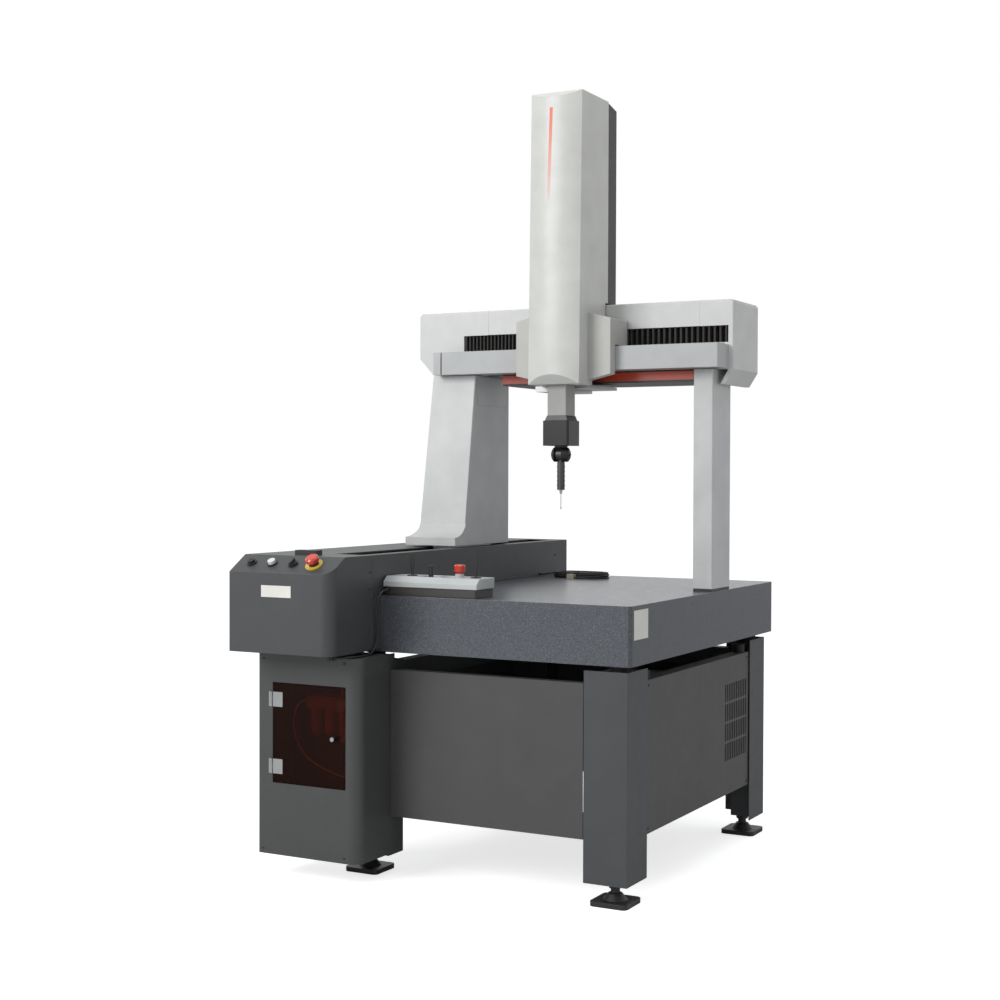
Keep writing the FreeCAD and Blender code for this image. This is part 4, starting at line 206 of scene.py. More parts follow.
@dataclass(frozen=True)
class Granite(Finish):
    """Dark gabbro, ground and lapped: light and dark mineral grains under a polish."""

    fleck: str = "#7c8188"
    dark: str = "#43464b"
    crystal_mm: float = 1.1

    def colour_socket(
        self, tree: bpy.types.NodeTree, place: bpy.types.NodeSocket
    ) -> bpy.types.NodeSocket:
        """Returns the colours of the crystals, in three shades."""
        cells = add_node(tree, "ShaderNodeTexVoronoi", {"Scale": 1 / (self.crystal_mm * MM)},
                         {"Vector": place})
        split = add_node(tree, "ShaderNodeSeparateColor", links={"Color": cells.outputs["Color"]})
        ramp = add_node(tree, "ShaderNodeValToRGB", links={"Fac": split.outputs["Red"]})
        ramp.color_ramp.elements[0].position = 0.2
        ramp.color_ramp.elements[0].color = linear(self.dark)
        ramp.color_ramp.elements[1].position = 1.0
        ramp.color_ramp.elements[1].color = linear(self.fleck)
        middle = ramp.color_ramp.elements.new(0.8)
        middle.color = linear(self.colour)
        return ramp.outputs["Color"]


@dataclass(frozen=True)
class FadingStripe(Finish):
    """Satin white lacquer with an orange stripe that leans and fades downwards."""

    stripe: str = "#d94e22"
    top_z: float = 2.1375
    fade_z: float = 1.87
    centre_top_x: float = 0.0761
    centre_low_x: float = 0.0700
    half_width_mm: float = 4.7
    front_y: float = -0.005
    fade_power: float = 0.6

    def colour_socket(
        self, tree: bpy.types.NodeTree, place: bpy.types.NodeSocket
    ) -> bpy.types.NodeSocket:
        """Returns white with the stripe mixed in on the front face."""
        white = super().colour_socket(tree, place)
        axes = add_node(tree, "ShaderNodeSeparateXYZ", links={"Vector": place})
        rise = add_node(tree, "ShaderNodeMapRange",
                        {"From Min": self.fade_z, "From Max": self.top_z, "To Min": 0.0, "To Max": 1.0},
                        {"Value": axes.outputs["Z"]})
        centre = add_node(tree, "ShaderNodeMapRange",
                          {"To Min": self.centre_low_x, "To Max": self.centre_top_x},
                          {"Value": rise.outputs["Result"]})
        offset = add_node(tree, "ShaderNodeMath", {"operation": "SUBTRACT"})
        tree.links.new(axes.outputs["X"], offset.inputs[0])
        tree.links.new(centre.outputs["Result"], offset.inputs[1])
        size = add_node(tree, "ShaderNodeMath", {"operation": "ABSOLUTE"})
        tree.links.new(offset.outputs["Value"], size.inputs[0])
        half = self.half_width_mm * MM
        edge = add_node(tree, "ShaderNodeMapRange",
                        {"From Min": half, "From Max": half * 1.15, "To Min": 1.0, "To Max": 0.0},
                        {"Value": size.outputs["Value"]})
        front = add_node(tree, "ShaderNodeMath", {"operation": "LESS_THAN"})
        tree.links.new(axes.outputs["Y"], front.inputs[0])
        front.inputs[1].default_value = self.front_y
        shown = add_node(tree, "ShaderNodeMath", {"operation": "MULTIPLY"})
        tree.links.new(edge.outputs["Result"], shown.inputs[0])
        tree.links.new(front.outputs["Value"], shown.inputs[1])
        below = add_node(tree, "ShaderNodeMath", {"operation": "LESS_THAN"})
        tree.links.new(axes.outputs["Z"], below.inputs[0])
        below.inputs[1].default_value = self.top_z
        ended = add_node(tree, "ShaderNodeMath", {"operation": "MULTIPLY"})
        tree.links.new(shown.outputs["Value"], ended.inputs[0])
        tree.links.new(below.outputs["Value"], ended.inputs[1])
        strength = add_node(tree, "ShaderNodeMath", {"operation": "POWER"})
        tree.links.new(rise.outputs["Result"], strength.inputs[0])
        strength.inputs[1].default_value = self.fade_power
        fade = add_node(tree, "ShaderNodeMath", {"operation": "MULTIPLY"})
        tree.links.new(ended.outputs["Value"], fade.inputs[0])
        tree.links.new(strength.outputs["Value"], fade.inputs[1])
        mix = add_node(tree, "ShaderNodeMix", {"data_type": "RGBA"})
        tree.links.new(fade.outputs["Value"], mix.inputs[0])
        tree.links.new(white, mix.inputs[6])
        mix.inputs[7].default_value = linear(self.stripe)
        return mix.outputs[2]


@dataclass(frozen=True)
class SmokedSheet(Finish):
    """Brown smoked acrylic sheet: clear, tinted and glossy."""

    def fill(self, tree: bpy.types.NodeTree) -> None:
        """Mixes a tinted see-through layer with a glossy brown one."""
        clear = add_node(tree, "ShaderNodeBsdfTransparent", {"Color": linear("#c49a86")})
        body = add_node(tree, "ShaderNodeBsdfPrincipled",
                        {"Base Color": linear(self.colour), "Roughness": 0.06})
        mix = add_node(tree, "ShaderNodeMixShader", {"Fac": 0.12})
        tree.links.new(clear.outputs["BSDF"], mix.inputs[1])
        tree.links.new(body.outputs["BSDF"], mix.inputs[2])
        add_node(tree, "ShaderNodeOutputMaterial", links={"Surface": mix.outputs["Shader"]})


class Coat(Enum):
    """The finishes of the machine, named for what each one is."""

    COVER_WHITE = Finish("lacquered_cover_white", "#cccdcb", 0.38, grain_mm=2.2, relief_mm=0.015)
    LEG_WHITE = Finish("cast_leg_white", "#c8c9c8", 0.42, grain_mm=2.6, relief_mm=0.02)
    COLUMN_WHITE = FadingStripe("striped_column_white", "#cdcec9", 0.36, grain_mm=2.2, relief_mm=0.015)
    STRIP_GREY = Finish("satin_strip_grey", "#b2b4b4", 0.4, grain_mm=1.6)
    WING_GREY = Finish("moulded_wing_grey", "#bcbcb7", 0.5, grain_mm=0.9, relief_mm=0.03)
    DUCT_DARK = Finish("powder_duct_dark", "#3a393d", 0.55, grain_mm=0.8, relief_mm=0.05)
    HOUSING_DARK = Finish("textured_housing_dark", "#3f4142", 0.5, grain_mm=0.8, relief_mm=0.05)
    PANEL_DARK = Finish("textured_panel_dark", "#464645", 0.55, grain_mm=0.8, relief_mm=0.05)
    COVER_DARK = Finish("textured_corner_dark", "#424445", 0.52, grain_mm=0.8, relief_mm=0.05)
    CABINET_DARK = Finish("textured_cabinet_dark", "#414242", 0.52, grain_mm=0.8, relief_mm=0.05)
    CAST_BLACK = Finish("cast_foot_black", "#242323", 0.5, grain_mm=1.2, relief_mm=0.08)
    RUBBER = Finish("vulcanised_rubber", "#1b1b1b", 0.75, grain_mm=0.6, relief_mm=0.03)
    BELLOWS = Finish("coated_bellows_cloth", "#262422", 0.7, grain_mm=0.5, relief_mm=0.06)
    BLACK_PLASTIC = Finish("moulded_black", "#222224", 0.45, grain_mm=0.6, relief_mm=0.02)
    PENDANT_DARK = Finish("moulded_base_dark", "#3b3835", 0.5, grain_mm=0.6, relief_mm=0.02)
    PENDANT_GREY = Finish("moulded_pendant_grey", "#bcc0bf", 0.42, grain_mm=0.6, relief_mm=0.02)
    ALUMINIUM = Finish("anodised_aluminium", "#a9a9a8", 0.38, 0.9, grain_mm=0.5, relief_mm=0.01)
    RAM_GREY = Finish("coated_ram_grey", "#a4a4a1", 0.45, grain_mm=1.4)
    HEAD_DARK = Finish("anodised_head_dark", "#2b2929", 0.3, 0.3, grain_mm=0.5, relief_mm=0.01)
    ADAPTER_DARK = Finish("anodised_adapter_dark", "#2d2c2c", 0.35, 0.5, grain_mm=0.5, relief_mm=0.01)
    PROBE_DARK = Finish("knurled_probe_dark", "#4d4c4a", 0.4, 0.5, grain_mm=0.8, relief_mm=0.06)
    STEEL = Finish("turned_steel", "#a3a5a6", 0.25, 1.0, grain_mm=0.5, relief_mm=0.01)
    GRANITE = Granite("lapped_granite", "#54575d", 0.3, grain_mm=0.8, relief_mm=0.004)
    RED_TRIM = Finish("red_trim_lacquer", "#b8442c", 0.3, grain_mm=1.0, coat=0.3)
    PLATE = Finish("bare_label_plate", "#e4e2da", 0.45, grain_mm=1.0, relief_mm=0.01)
    COPPER = Finish("red_brown_filter_bowl", "#b0644c", 0.3, 0.2, grain_mm=1.0)
    RUBY = Finish("polished_ruby", "#b01228", 0.08, grain_mm=1.0, coat=0.6)
    BUTTON_WHITE = Finish("gloss_button_white", "#dfe2df", 0.25, grain_mm=1.0, coat=0.4)
    KEYPAD = Finish("silicone_keypad_grey", "#8b9298", 0.55, grain_mm=0.8)
    RED = Finish("gloss_button_red", "#cf3a2a", 0.22, grain_mm=1.0, coat=0.4)
    YELLOW = Finish("gloss_collar_yellow", "#e2c13c", 0.3, grain_mm=1.0, coat=0.3)
    HOSE_PALE = Finish("polyurethane_hose_pale", "#d8cfc6", 0.3, grain_mm=1.0, coat=0.3)
    CORD = Finish("cord_jacket_black", "#1d1d1e", 0.55, grain_mm=0.6, relief_mm=0.02)
    BEIGE = Finish("moulded_plug_beige", "#b9b09c", 0.5, grain_mm=0.6, relief_mm=0.02)
    FILTER = Finish("cast_filter_grey", "#8c8f92", 0.45, 0.2, grain_mm=1.0)
    SMOKED = SmokedSheet("smoked_acrylic_brown", "#4a2a20", 0.06)


# ---------------------------------------------------------------- modelling helpers
def deselect_all() -> None:
    """Leaves no object selected."""
    if bpy.context.object is not None and bpy.context.object.mode != "OBJECT":
        bpy.ops.object.mode_set(mode="OBJECT")
    bpy.ops.object.select_all(action="DESELECT")


def make_active(piece: bpy.types.Object) -> None:
    """Selects one object alone and makes it the active one."""
    deselect_all()
    piece.select_set(True)
    bpy.context.view_layer.objects.active = piece


def apply_modifier(piece: bpy.types.Object, kind: str, **settings: Any) -> None:
    """Adds a modifier with its settings and applies it."""
    make_active(piece)
    modifier = piece.modifiers.new(kind.lower(), kind)
    for name, value in settings.items():
        setattr(modifier, name, value)
    bpy.ops.object.modifier_apply(modifier=modifier.name)


def round_edges(piece: bpy.types.Object, width_mm: float, segments: int = 2) -> None:
    """Rounds every edge sharper than 30 degrees and keeps the flat faces flat to the light."""
    apply_modifier(piece, "BEVEL", width=width_mm * MM, segments=segments, limit_method="ANGLE",
                   angle_limit=math.radians(30), use_clamp_overlap=False, harden_normals=False)
    make_active(piece)
    bpy.ops.object.shade_smooth_by_angle(angle=math.radians(35))
    apply_modifier(piece, "WEIGHTED_NORMAL", mode="FACE_AREA", weight=100, keep_sharp=True)


def paint(piece: bpy.types.Object, coat: Coat) -> None:
    """Gives a piece one finish all over."""
    piece.data.materials.clear()
    piece.data.materials.append(coat.value.material())


def node_body(node: str) -> str:
    """Name of the body that a CAD node rides on."""
    for body, nodes in frame["record"]["behaviour"]["bodies"].items():
        if node in nodes:
            return body
    return "stand"


def keep_node(node: str, coat: Coat) -> None:
    """Shows a CAD node as it is, with a better finish."""
    piece = frame["nodes"][node]
    if not piece.data.materials:
        piece.data.materials.append(None)
    for slot in piece.material_slots:
        slot.material = coat.value.material()
    LOG.info("finished %s", node)


def rounded_copy(node: str, coat: Coat, width_mm: float, segments: int = 2) -> bpy.types.Object:
    """Copies a CAD node, rounds its edges and lets the copy stand for it.

    Args:
        node: The CAD node's name.
        coat: The finish of the copy.
        width_mm: Width of the rounding.
        segments: Number of strips across the rounding.

    Returns:
        The dressed copy.
    """
    source = frame["nodes"][node]
    piece = bpy.data.objects.new(node + "_dressed", source.data.copy())
    bpy.context.scene.collection.objects.link(piece)
    make_active(piece)
    bpy.ops.object.mode_set(mode="EDIT")
    bpy.ops.mesh.select_all(action="SELECT")
    bpy.ops.mesh.remove_doubles(threshold=0.00001)
    bpy.ops.mesh.dissolve_limited(angle_limit=math.radians(0.5))
    bpy.ops.object.mode_set(mode="OBJECT")
    if width_mm > 0:
        round_edges(piece, width_mm, segments)
    paint(piece, coat)
    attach(piece, node_body(node))
    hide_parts(node)
    LOG.info("dressed %s, %d faces", node, len(piece.data.polygons))
    return piece


def nurbs_cord(name: str, points: Sequence[Point], radius: float, coat: Coat) -> bpy.types.Object:
    """Makes a round cord along a smooth line.

    Args:
        name: The piece's name.
        points: Control points in metres.
        radius: Radius of the jacket in metres.
        coat: The jacket's finish.

    Returns:
        The curve object.
    """
    curve = bpy.data.curves.new(name, "CURVE")
    curve.dimensions = "3D"
    spline = curve.splines.new("NURBS")
    spline.points.add(len(points) - 1)
    for point, place in zip(spline.points, points):
        point.co = (*place, 1.0)
    spline.order_u = 3
    spline.use_endpoint_u = True
    spline.resolution_u = 12
    curve.bevel_depth = radius
    curve.bevel_resolution = 5
    curve.use_fill_caps = True
    curve.materials.append(coat.value.material())
    piece = bpy.data.objects.new(name, curve)
    bpy.context.scene.collection.objects.link(piece)
    return piece


# ---------------------------------------------------------------- studio
@dataclass
class Studio:
    """Camera, lamps, world and floor."""

    place: Vector = field(default_factory=lambda: Vector((2.12351, -4.14288, 1.10210)))
    turn_deg: float = 28.31411
    nod_deg: float = -0.98302
    roll_deg: float = 0.18829
    lens_mm: float = 57.917
    floor_half: float = 30.0

    def build(self) -> None:
        """Makes everything that isn't the machine."""
        self.camera()
        self.world()
        self.lamps()
        self.floor()
        bpy.context.scene.view_settings.view_transform = "Standard"

    def camera(self) -> None:
        """Sets the camera at its place, looking at the machine."""
        turn, nod, roll = (math.radians(a) for a in (self.turn_deg, self.nod_deg, self.roll_deg))
        ahead = Vector((-math.sin(turn) * math.cos(nod), math.cos(turn) * math.cos(nod), math.sin(nod)))
        level = Vector((math.cos(turn), math.sin(turn), 0.0))
        above = level.cross(ahead)
        side = level * math.cos(roll) + above * math.sin(roll)
        up = above * math.cos(roll) - level * math.sin(roll)
        lens = bpy.data.cameras.new("camera")
        lens.lens = self.lens_mm
        lens.sensor_width = 36.0
        lens.clip_start = 0.05
        lens.clip_end = 200.0
        camera = bpy.data.objects.new("camera", lens)
        bpy.context.scene.collection.objects.link(camera)
        axes = Matrix((side, up, -ahead)).transposed()
        camera.matrix_world = Matrix.Translation(self.place) @ axes.to_4x4()
        bpy.context.scene.camera = camera

    def world(self) -> None:
        """Soft grey light all round, and plain white to the eye and in reflections."""
        world = bpy.data.worlds.new("studio_world")
        bpy.context.scene.world = world
        world.use_nodes = True
        tree = world.node_tree
        tree.nodes.clear()
        rays = add_node(tree, "ShaderNodeLightPath")
        seen = add_node(tree, "ShaderNodeMath", {"operation": "MAXIMUM"})
        tree.links.new(rays.outputs["Is Camera Ray"], seen.inputs[0])
        tree.links.new(rays.outputs["Is Glossy Ray"], seen.inputs[1])
        both = add_node(tree, "ShaderNodeMath", {"operation": "MAXIMUM"})
        tree.links.new(seen.outputs["Value"], both.inputs[0])
        tree.links.new(rays.outputs["Is Transmission Ray"], both.inputs[1])
        soft = add_node(tree, "ShaderNodeBackground", {"Color": linear("#f4f6fa"), "Strength": 0.42})
        plain = add_node(tree, "ShaderNodeBackground", {"Color": (1, 1, 1, 1), "Strength": 1.0})
        mix = add_node(tree, "ShaderNodeMixShader")
        tree.links.new(both.outputs["Value"], mix.inputs[0])
        tree.links.new(soft.outputs["Background"], mix.inputs[1])
        tree.links.new(plain.outputs["Background"], mix.inputs[2])
        add_node(tree, "ShaderNodeOutputWorld", links={"Surface": mix.outputs["Shader"]})

    def lamps(self) -> None:
        """A large key on the front left and a high fill."""
        self.lamp("key", Vector((-2.6, -5.2, 3.6)), 3.0, 210.0)
        self.lamp("top", Vector((0.5, -0.5, 5.0)), 3.5, 60.0)

    def lamp(self, name: str, place: Vector, size: float, watts: float) -> None:
        """Adds one square lamp that points at the middle of the machine."""
        light = bpy.data.lights.new(name, "AREA")
        light.size = size
        light.energy = watts
        lamp = bpy.data.objects.new(name, light)
        bpy.context.scene.collection.objects.link(lamp)
        lamp.location = place
        aim = Vector((0.0, 0.0, 1.0)) - place
        lamp.rotation_euler = aim.to_track_quat("-Z", "Y").to_euler()

    def floor(self) -> None:
        """White floor that still shows the machine's soft shadow."""
        deselect_all()
        bpy.ops.mesh.primitive_plane_add(size=2 * self.floor_half, location=(0, 0, 0))
        floor = bpy.context.object
        floor.name = "floor"
        make_active(floor)
        bpy.ops.object.transform_apply(location=True, rotation=True, scale=True)
        material = bpy.data.materials.new("pale_floor")
        tree = fresh_tree(material)
        matt = add_node(tree, "ShaderNodeBsdfDiffuse", {"Color": linear("#f2f2f2")})
        glow = add_node(tree, "ShaderNodeEmission", {"Color": (1, 1, 1, 1), "Strength": 0.72})
        rays = add_node(tree, "ShaderNodeLightPath")
        add = add_node(tree, "ShaderNodeAddShader")
        tree.links.new(matt.outputs["BSDF"], add.inputs[0])
        tree.links.new(glow.outputs["Emission"], add.inputs[1])
        mix = add_node(tree, "ShaderNodeMixShader")
        tree.links.new(rays.outputs["Is Camera Ray"], mix.inputs[0])
        tree.links.new(matt.outputs["BSDF"], mix.inputs[1])
        tree.links.new(add.outputs["Shader"], mix.inputs[2])
        add_node(tree, "ShaderNodeOutputMaterial", links={"Surface": mix.outputs["Shader"]})
        floor.data.materials.append(material)


# ---------------------------------------------------------------- cords
@dataclass
class Leads:
    """The pendant's cord, the sensor lead with its coil, and the air hose."""

    pendant_route_mm: tuple[Point, ...] = (
        (-208, -460, 783), (-208, -471, 783), (-208.8, -482.3, 779.2), (-210, -491.7, 771.6),
        (-211.5, -498, 760.6), (-213.2, -500.6, 747), (-215.5, -499, 727), (-218, -493.5, 701),
        (-220, -488, 676), (-221.2, -486.5, 655), (-221.8, -490.5, 638), (-222, -500, 624.5),
        (-222.4, -514, 615.6), (-223.2, -532, 612), (-225, -558, 611.5), (-229, -588, 612.2),
        (-237, -616, 613), (-250, -641, 613),
    )
    lead_route_mm: tuple[Point, ...] = (
        (-226, 498, 774), (-216, 498, 774), (-205, 497.5, 775.4), (-194, 496.2, 778.4),
        (-184, 494.8, 781), (-174, 493.5, 781.9),
    )
    hose_route_mm: tuple[Point, ...] = (
        (-430, -500, 473), (-450, -500, 473), (-468.5, -501.5, 462), (-478, -505, 441),
        (-480, -508, 413), (-473, -512, 380), (-458, -514, 347), (-432, -514, 318),
        (-396, -512, 299), (-352, -508, 281.5), (-306, -500, 269.5), (-262, -500, 269.5),
    )
    pendant_length: float = 0.3366
    lead_length: float = 0.0531
    hose_length: float = 0.3802

    coil_length: float = 5.12
    coil_turns: int = 12
    layer_turns: int = 3
    turn_points: int = 20
    pitch: float = 4.8 * MM
    ramp: float = 0.25
    start_turn: float = 0.86

    def build(self) -> None:
        """Makes the three cords, the sensor lead with its coil among them."""
        self.cord("pendant_cord_line", "pendant_cord", self.pendant_route_mm, 2.75 * MM,
                  Coat.CORD)
        self.coiled_lead()
        self.cord("air_hose_line", "air_hose", self.hose_route_mm, 3.0 * MM,
                  Coat.HOSE_PALE)

    def coil_point(self, turn: float) -> Vector:
        """Place of the coiled lead after some turns, counted from the plug.

        The turns lie in flat layers that run inwards and outwards by turns.
        """
        low, high = (Vector(corner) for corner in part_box("sensor_hank"))
        radius = 2.0 * MM
        layer = min(int(turn / self.layer_turns), self.coil_turns // self.layer_turns - 1)
        part = turn - layer * self.layer_turns
        inward = part if layer % 2 == 0 else self.layer_turns - part
        climb = min(1.0, part / self.ramp) if layer > 0 else 1.0
        height = low.z + 1.1 * radius + self.pitch * (layer - 1 + climb)
        inset = radius + self.pitch * inward
        half_x, half_y = (high.x - low.x) / 2, (high.y - low.y) / 2
        arc = half_y - inset
        straight = half_x - half_y
        angle = 2 * math.pi * (self.start_turn + turn)
        wobble = 1.0 * MM * math.sin(3 * angle + 0.7) + 0.6 * MM * math.sin(5 * angle)
        along = straight if math.cos(angle) > 0 else -straight
        blend = min(1.0, abs(math.cos(angle)) * 2.2)
        middle = (low + high) / 2
        return Vector((middle.x + blend * along + (arc + wobble) * math.cos(angle),
                       middle.y + (arc + wobble) * math.sin(angle), height))

    def coiled_lead(self) -> None:
        """Lays the lead from the housing to its coil and out to the plug."""
        plug_low, plug_high = (Vector(corner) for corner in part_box("sensor_block"))
        lead = [Vector(place) * MM for place in self.lead_route_mm]
        end_turn = self.coil_turns - 0.5
        steps = int(end_turn * self.turn_points)
        turns = [self.coil_point(end_turn * k / steps) for k in range(steps + 1)]
        first = turns[0]
        plug_y = (plug_low.y + plug_high.y) / 2
        plug = Vector((plug_high.x, plug_y, first.z + 2 * MM))
        tail = [plug, plug + Vector((12 * MM, 0, 0)), plug + Vector((26 * MM, 0.5 * MM, -1.5 * MM)),
                plug + Vector((42 * MM, 3.5 * MM, -2 * MM))]
        into = [lead[0], lead[1], lead[2], lead[3]]
        points = into + list(reversed(turns)) + list(reversed(tail))
        piece = nurbs_cord("sensor_lead_coil", [tuple(p) for p in points], 2.0 * MM, Coat.CORD)
        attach(piece, "stand")
        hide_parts("sensor_lead", "sensor_hank")
        LOG.info("laid the coiled lead")

    def cord(self, name: str, node: str, route: Sequence[Point], radius: float,
             coat: Coat) -> None:
        """Lays one cord in the place of its CAD solid."""
        points = [tuple(v * MM for v in place) for place in route]
        piece = nurbs_cord(name, points, radius, coat)
        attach(piece, "stand")
        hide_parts(node)
        LOG.info("laid %s", name)


# ---------------------------------------------------------------- dressing
@dataclass
class Dressing:
    """Rounded and painted copies of the rigid nodes."""

    parts: tuple[tuple[str, str, Coat, float], ...] = (
        ("levelling_feet", "cast_black", Coat.CAST_BLACK, 0.8),
        ("stand_frame", "stand_grey", Coat.COVER_DARK, 1.0),
        ("corner_covers", "cover_grey", Coat.COVER_DARK, 1.0),
        ("isolators", "rubber_black", Coat.RUBBER, 0.8),
        ("stand_panels", "panel_grey", Coat.PANEL_DARK, 0.6),
        ("right_panel", "panel_grey", Coat.PANEL_DARK, 0.5),
        ("controller_unit", "case_dark", Coat.PANEL_DARK, 1.0),
        ("granite_table", "granite", Coat.GRANITE, 1.0),
        ("guide_housing", "housing_dark", Coat.HOUSING_DARK, 1.2),
        ("control_box", "housing_dark", Coat.HOUSING_DARK, 1.0),
        ("cabinet_shell", "cabinet_grey", Coat.CABINET_DARK, 0.6),
        ("left_column", "cover_white", Coat.LEG_WHITE, 1.5),
        ("right_column", "cover_white", Coat.LEG_WHITE, 1.5),
        ("beam_cover", "cover_white", Coat.COVER_WHITE, 1.0),
        ("beam_end_caps", "cover_white", Coat.COVER_WHITE, 0.0),
        ("beam_front_strip", "strip_grey", Coat.STRIP_GREY, 0.6),
        ("under_beam_tray", "cover_grey", Coat.COVER_DARK, 0.8),
        ("accent_rail", "accent_red", Coat.RED_TRIM, 0.6),
        ("carriage_wings", "wing_grey", Coat.WING_GREY, 1.0),
        ("column_cover", "column_white", Coat.COLUMN_WHITE, 1.2),
        ("rear_duct", "housing_dark", Coat.DUCT_DARK, 0.8),
        ("probe_adapter", "head_dark", Coat.ADAPTER_DARK, 0.8),
        ("ram_tube", "ram_grey", Coat.RAM_GREY, 0.8),
        ("pendant_base", "plastic_black", Coat.PENDANT_DARK, 1.0),
        ("pendant_cover", "pendant_grey", Coat.PENDANT_GREY, 1.2),
    )
    plain: tuple[tuple[str, Coat], ...] = (
        ("table_inserts", Coat.STEEL), ("y_guide_rail", Coat.GRANITE), ("slot_seals", Coat.RUBBER),
        ("panel_bezels", Coat.BLACK_PLASTIC), ("estop_collar", Coat.YELLOW),
        ("cabinet_fittings", Coat.STEEL), ("air_filter_unit", Coat.COPPER),
        ("pressure_gauge", Coat.STEEL), ("key_switch", Coat.BLACK_PLASTIC), ("start_button", Coat.BUTTON_WHITE),
        ("mode_knob", Coat.BLACK_PLASTIC), ("estop_button", Coat.RED), ("door_panel", Coat.SMOKED),
        ("door_fittings", Coat.STEEL), ("y_carriage", Coat.ALUMINIUM), ("air_bearings", Coat.BLACK_PLASTIC),
        ("x_beam", Coat.ALUMINIUM), ("carriage_saddle", Coat.ALUMINIUM), ("z_guides", Coat.STEEL),
        ("drive_units", Coat.BLACK_PLASTIC), ("head_ball", Coat.HEAD_DARK), ("probe_body", Coat.PROBE_DARK),
        ("stylus", Coat.STEEL), ("pendant_stick_left", Coat.BLACK_PLASTIC),
        ("pendant_stick_right", Coat.BLACK_PLASTIC), ("pendant_dial", Coat.BLACK_PLASTIC),
        ("pendant_estop", Coat.RED), ("cord_glands", Coat.BLACK_PLASTIC), ("sensor_block", Coat.BEIGE),
    )

    def build(self) -> None:
        """Dresses every node."""
        for node, slot, coat, width in self.parts:
            rounded_copy(node, coat, width)
        for node, coat in self.plain:
            keep_node(node, coat)


@dataclass
class Bellows:
    """A folded cloth bellows in the beam's window."""

    node: str
    folds: int
    crest: float = 0.16

    def build(self) -> None:
        """Folds a strip with flat crests and gives it thickness."""
        low, high = (Vector(corner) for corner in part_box(self.node))
        pitch = (high.x - low.x) / self.folds
        deselect_all()
        bpy.ops.mesh.primitive_plane_add(size=1.0, location=(0, 0, 0))
        piece = bpy.context.object
        piece.name = self.node + "_cloth"
        bpy.ops.object.mode_set(mode="EDIT")
        bpy.ops.mesh.select_all(action="SELECT")
        bpy.ops.mesh.delete(type="ONLY_FACE")
        bpy.ops.mesh.select_all(action="SELECT")
        bpy.ops.mesh.delete(type="VERT")
        bpy.ops.object.mode_set(mode="OBJECT")
        mesh = piece.data
        flat = self.crest * pitch
        wall = 0.6 * MM
        outline = [(0.0, high.y - wall), (0.5 * pitch - flat, low.y + wall), (0.5 * pitch + flat, low.y + wall),
                   (pitch, high.y - wall)]
        corners = [(low.x + x, y, z) for z in (low.z, high.z) for x, y in outline]
        faces = [(k, k + 1, k + 5, k + 4) for k in range(3)]
        mesh.from_pydata(corners, [], faces)
        mesh.update()
        apply_modifier(piece, "ARRAY", count=self.folds, use_relative_offset=False,
                       use_constant_offset=True, constant_offset_displace=(pitch, 0, 0),
                       use_merge_vertices=True, merge_threshold=0.0002)
        apply_modifier(piece, "SOLIDIFY", thickness=2 * 0.4 * MM, offset=0.0)
        make_active(piece)
        bpy.ops.object.mode_set(mode="EDIT")
        bpy.ops.mesh.select_all(action="SELECT")
        bpy.ops.mesh.normals_make_consistent(inside=False)
        bpy.ops.object.mode_set(mode="OBJECT")
        bpy.ops.object.shade_smooth_by_angle(angle=math.radians(30))
        paint(piece, Coat.BELLOWS)
        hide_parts(self.node)
        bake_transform(piece)
        LOG.info("folded %s", self.node)


def block(name: str, low: Point, high: Point) -> bpy.types.Object:
    """Adds a block between two corners, in metres, with its place in its mesh."""
    deselect_all()
    middle = [(a + b) / 2 for a, b in zip(low, high)]
    bpy.ops.mesh.primitive_cube_add(size=1.0, location=middle)
    piece = bpy.context.object
    piece.name = name
    piece.scale = [b - a for a, b in zip(low, high)]
    make_active(piece)
    bpy.ops.object.transform_apply(location=True, rotation=True, scale=True)
    return piece


def add_piece(piece: bpy.types.Object, body: str, coat: Coat, width_mm: float = 0.3) -> None:
    """Rounds, paints and seats a modelled piece on its body."""
    round_edges(piece, width_mm)
    paint(piece, coat)
    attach(piece, body)
    LOG.info("added %s", piece.name)


def screw(name: str, place: Vector, axis: Vector, radius: float) -> bpy.types.Object:
    """Models one socket screw head with its hexagon hole, looking along an axis.

    Args:
        name: The piece's name.
        place: Middle of the seat, in metres.
        axis: Direction that the head faces.
        radius: Radius of the head in metres.

    Returns:
        The screw, with its place in its mesh.
    """
    deselect_all()
    bpy.ops.mesh.primitive_cylinder_add(vertices=24, radius=radius, depth=radius)
    head = bpy.context.object
    head.name = name
    bpy.ops.object.mode_set(mode="EDIT")
    bpy.ops.mesh.select_all(action="DESELECT")
    bpy.ops.object.mode_set(mode="OBJECT")
    for face in head.data.polygons:
        face.select = face.normal.z > 0.9
    bpy.ops.object.mode_set(mode="EDIT")
    bpy.ops.mesh.inset(thickness=0.45 * radius)
    bpy.ops.mesh.extrude_region_move(TRANSFORM_OT_translate={"value": (0, 0, -0.5 * radius)})
    bpy.ops.object.mode_set(mode="OBJECT")
    head.matrix_world = Matrix.Translation(place) @ axis.to_track_quat("Z", "Y").to_matrix().to_4x4()
    make_active(head)
    bpy.ops.object.transform_apply(location=True, rotation=True, scale=True)
    return head


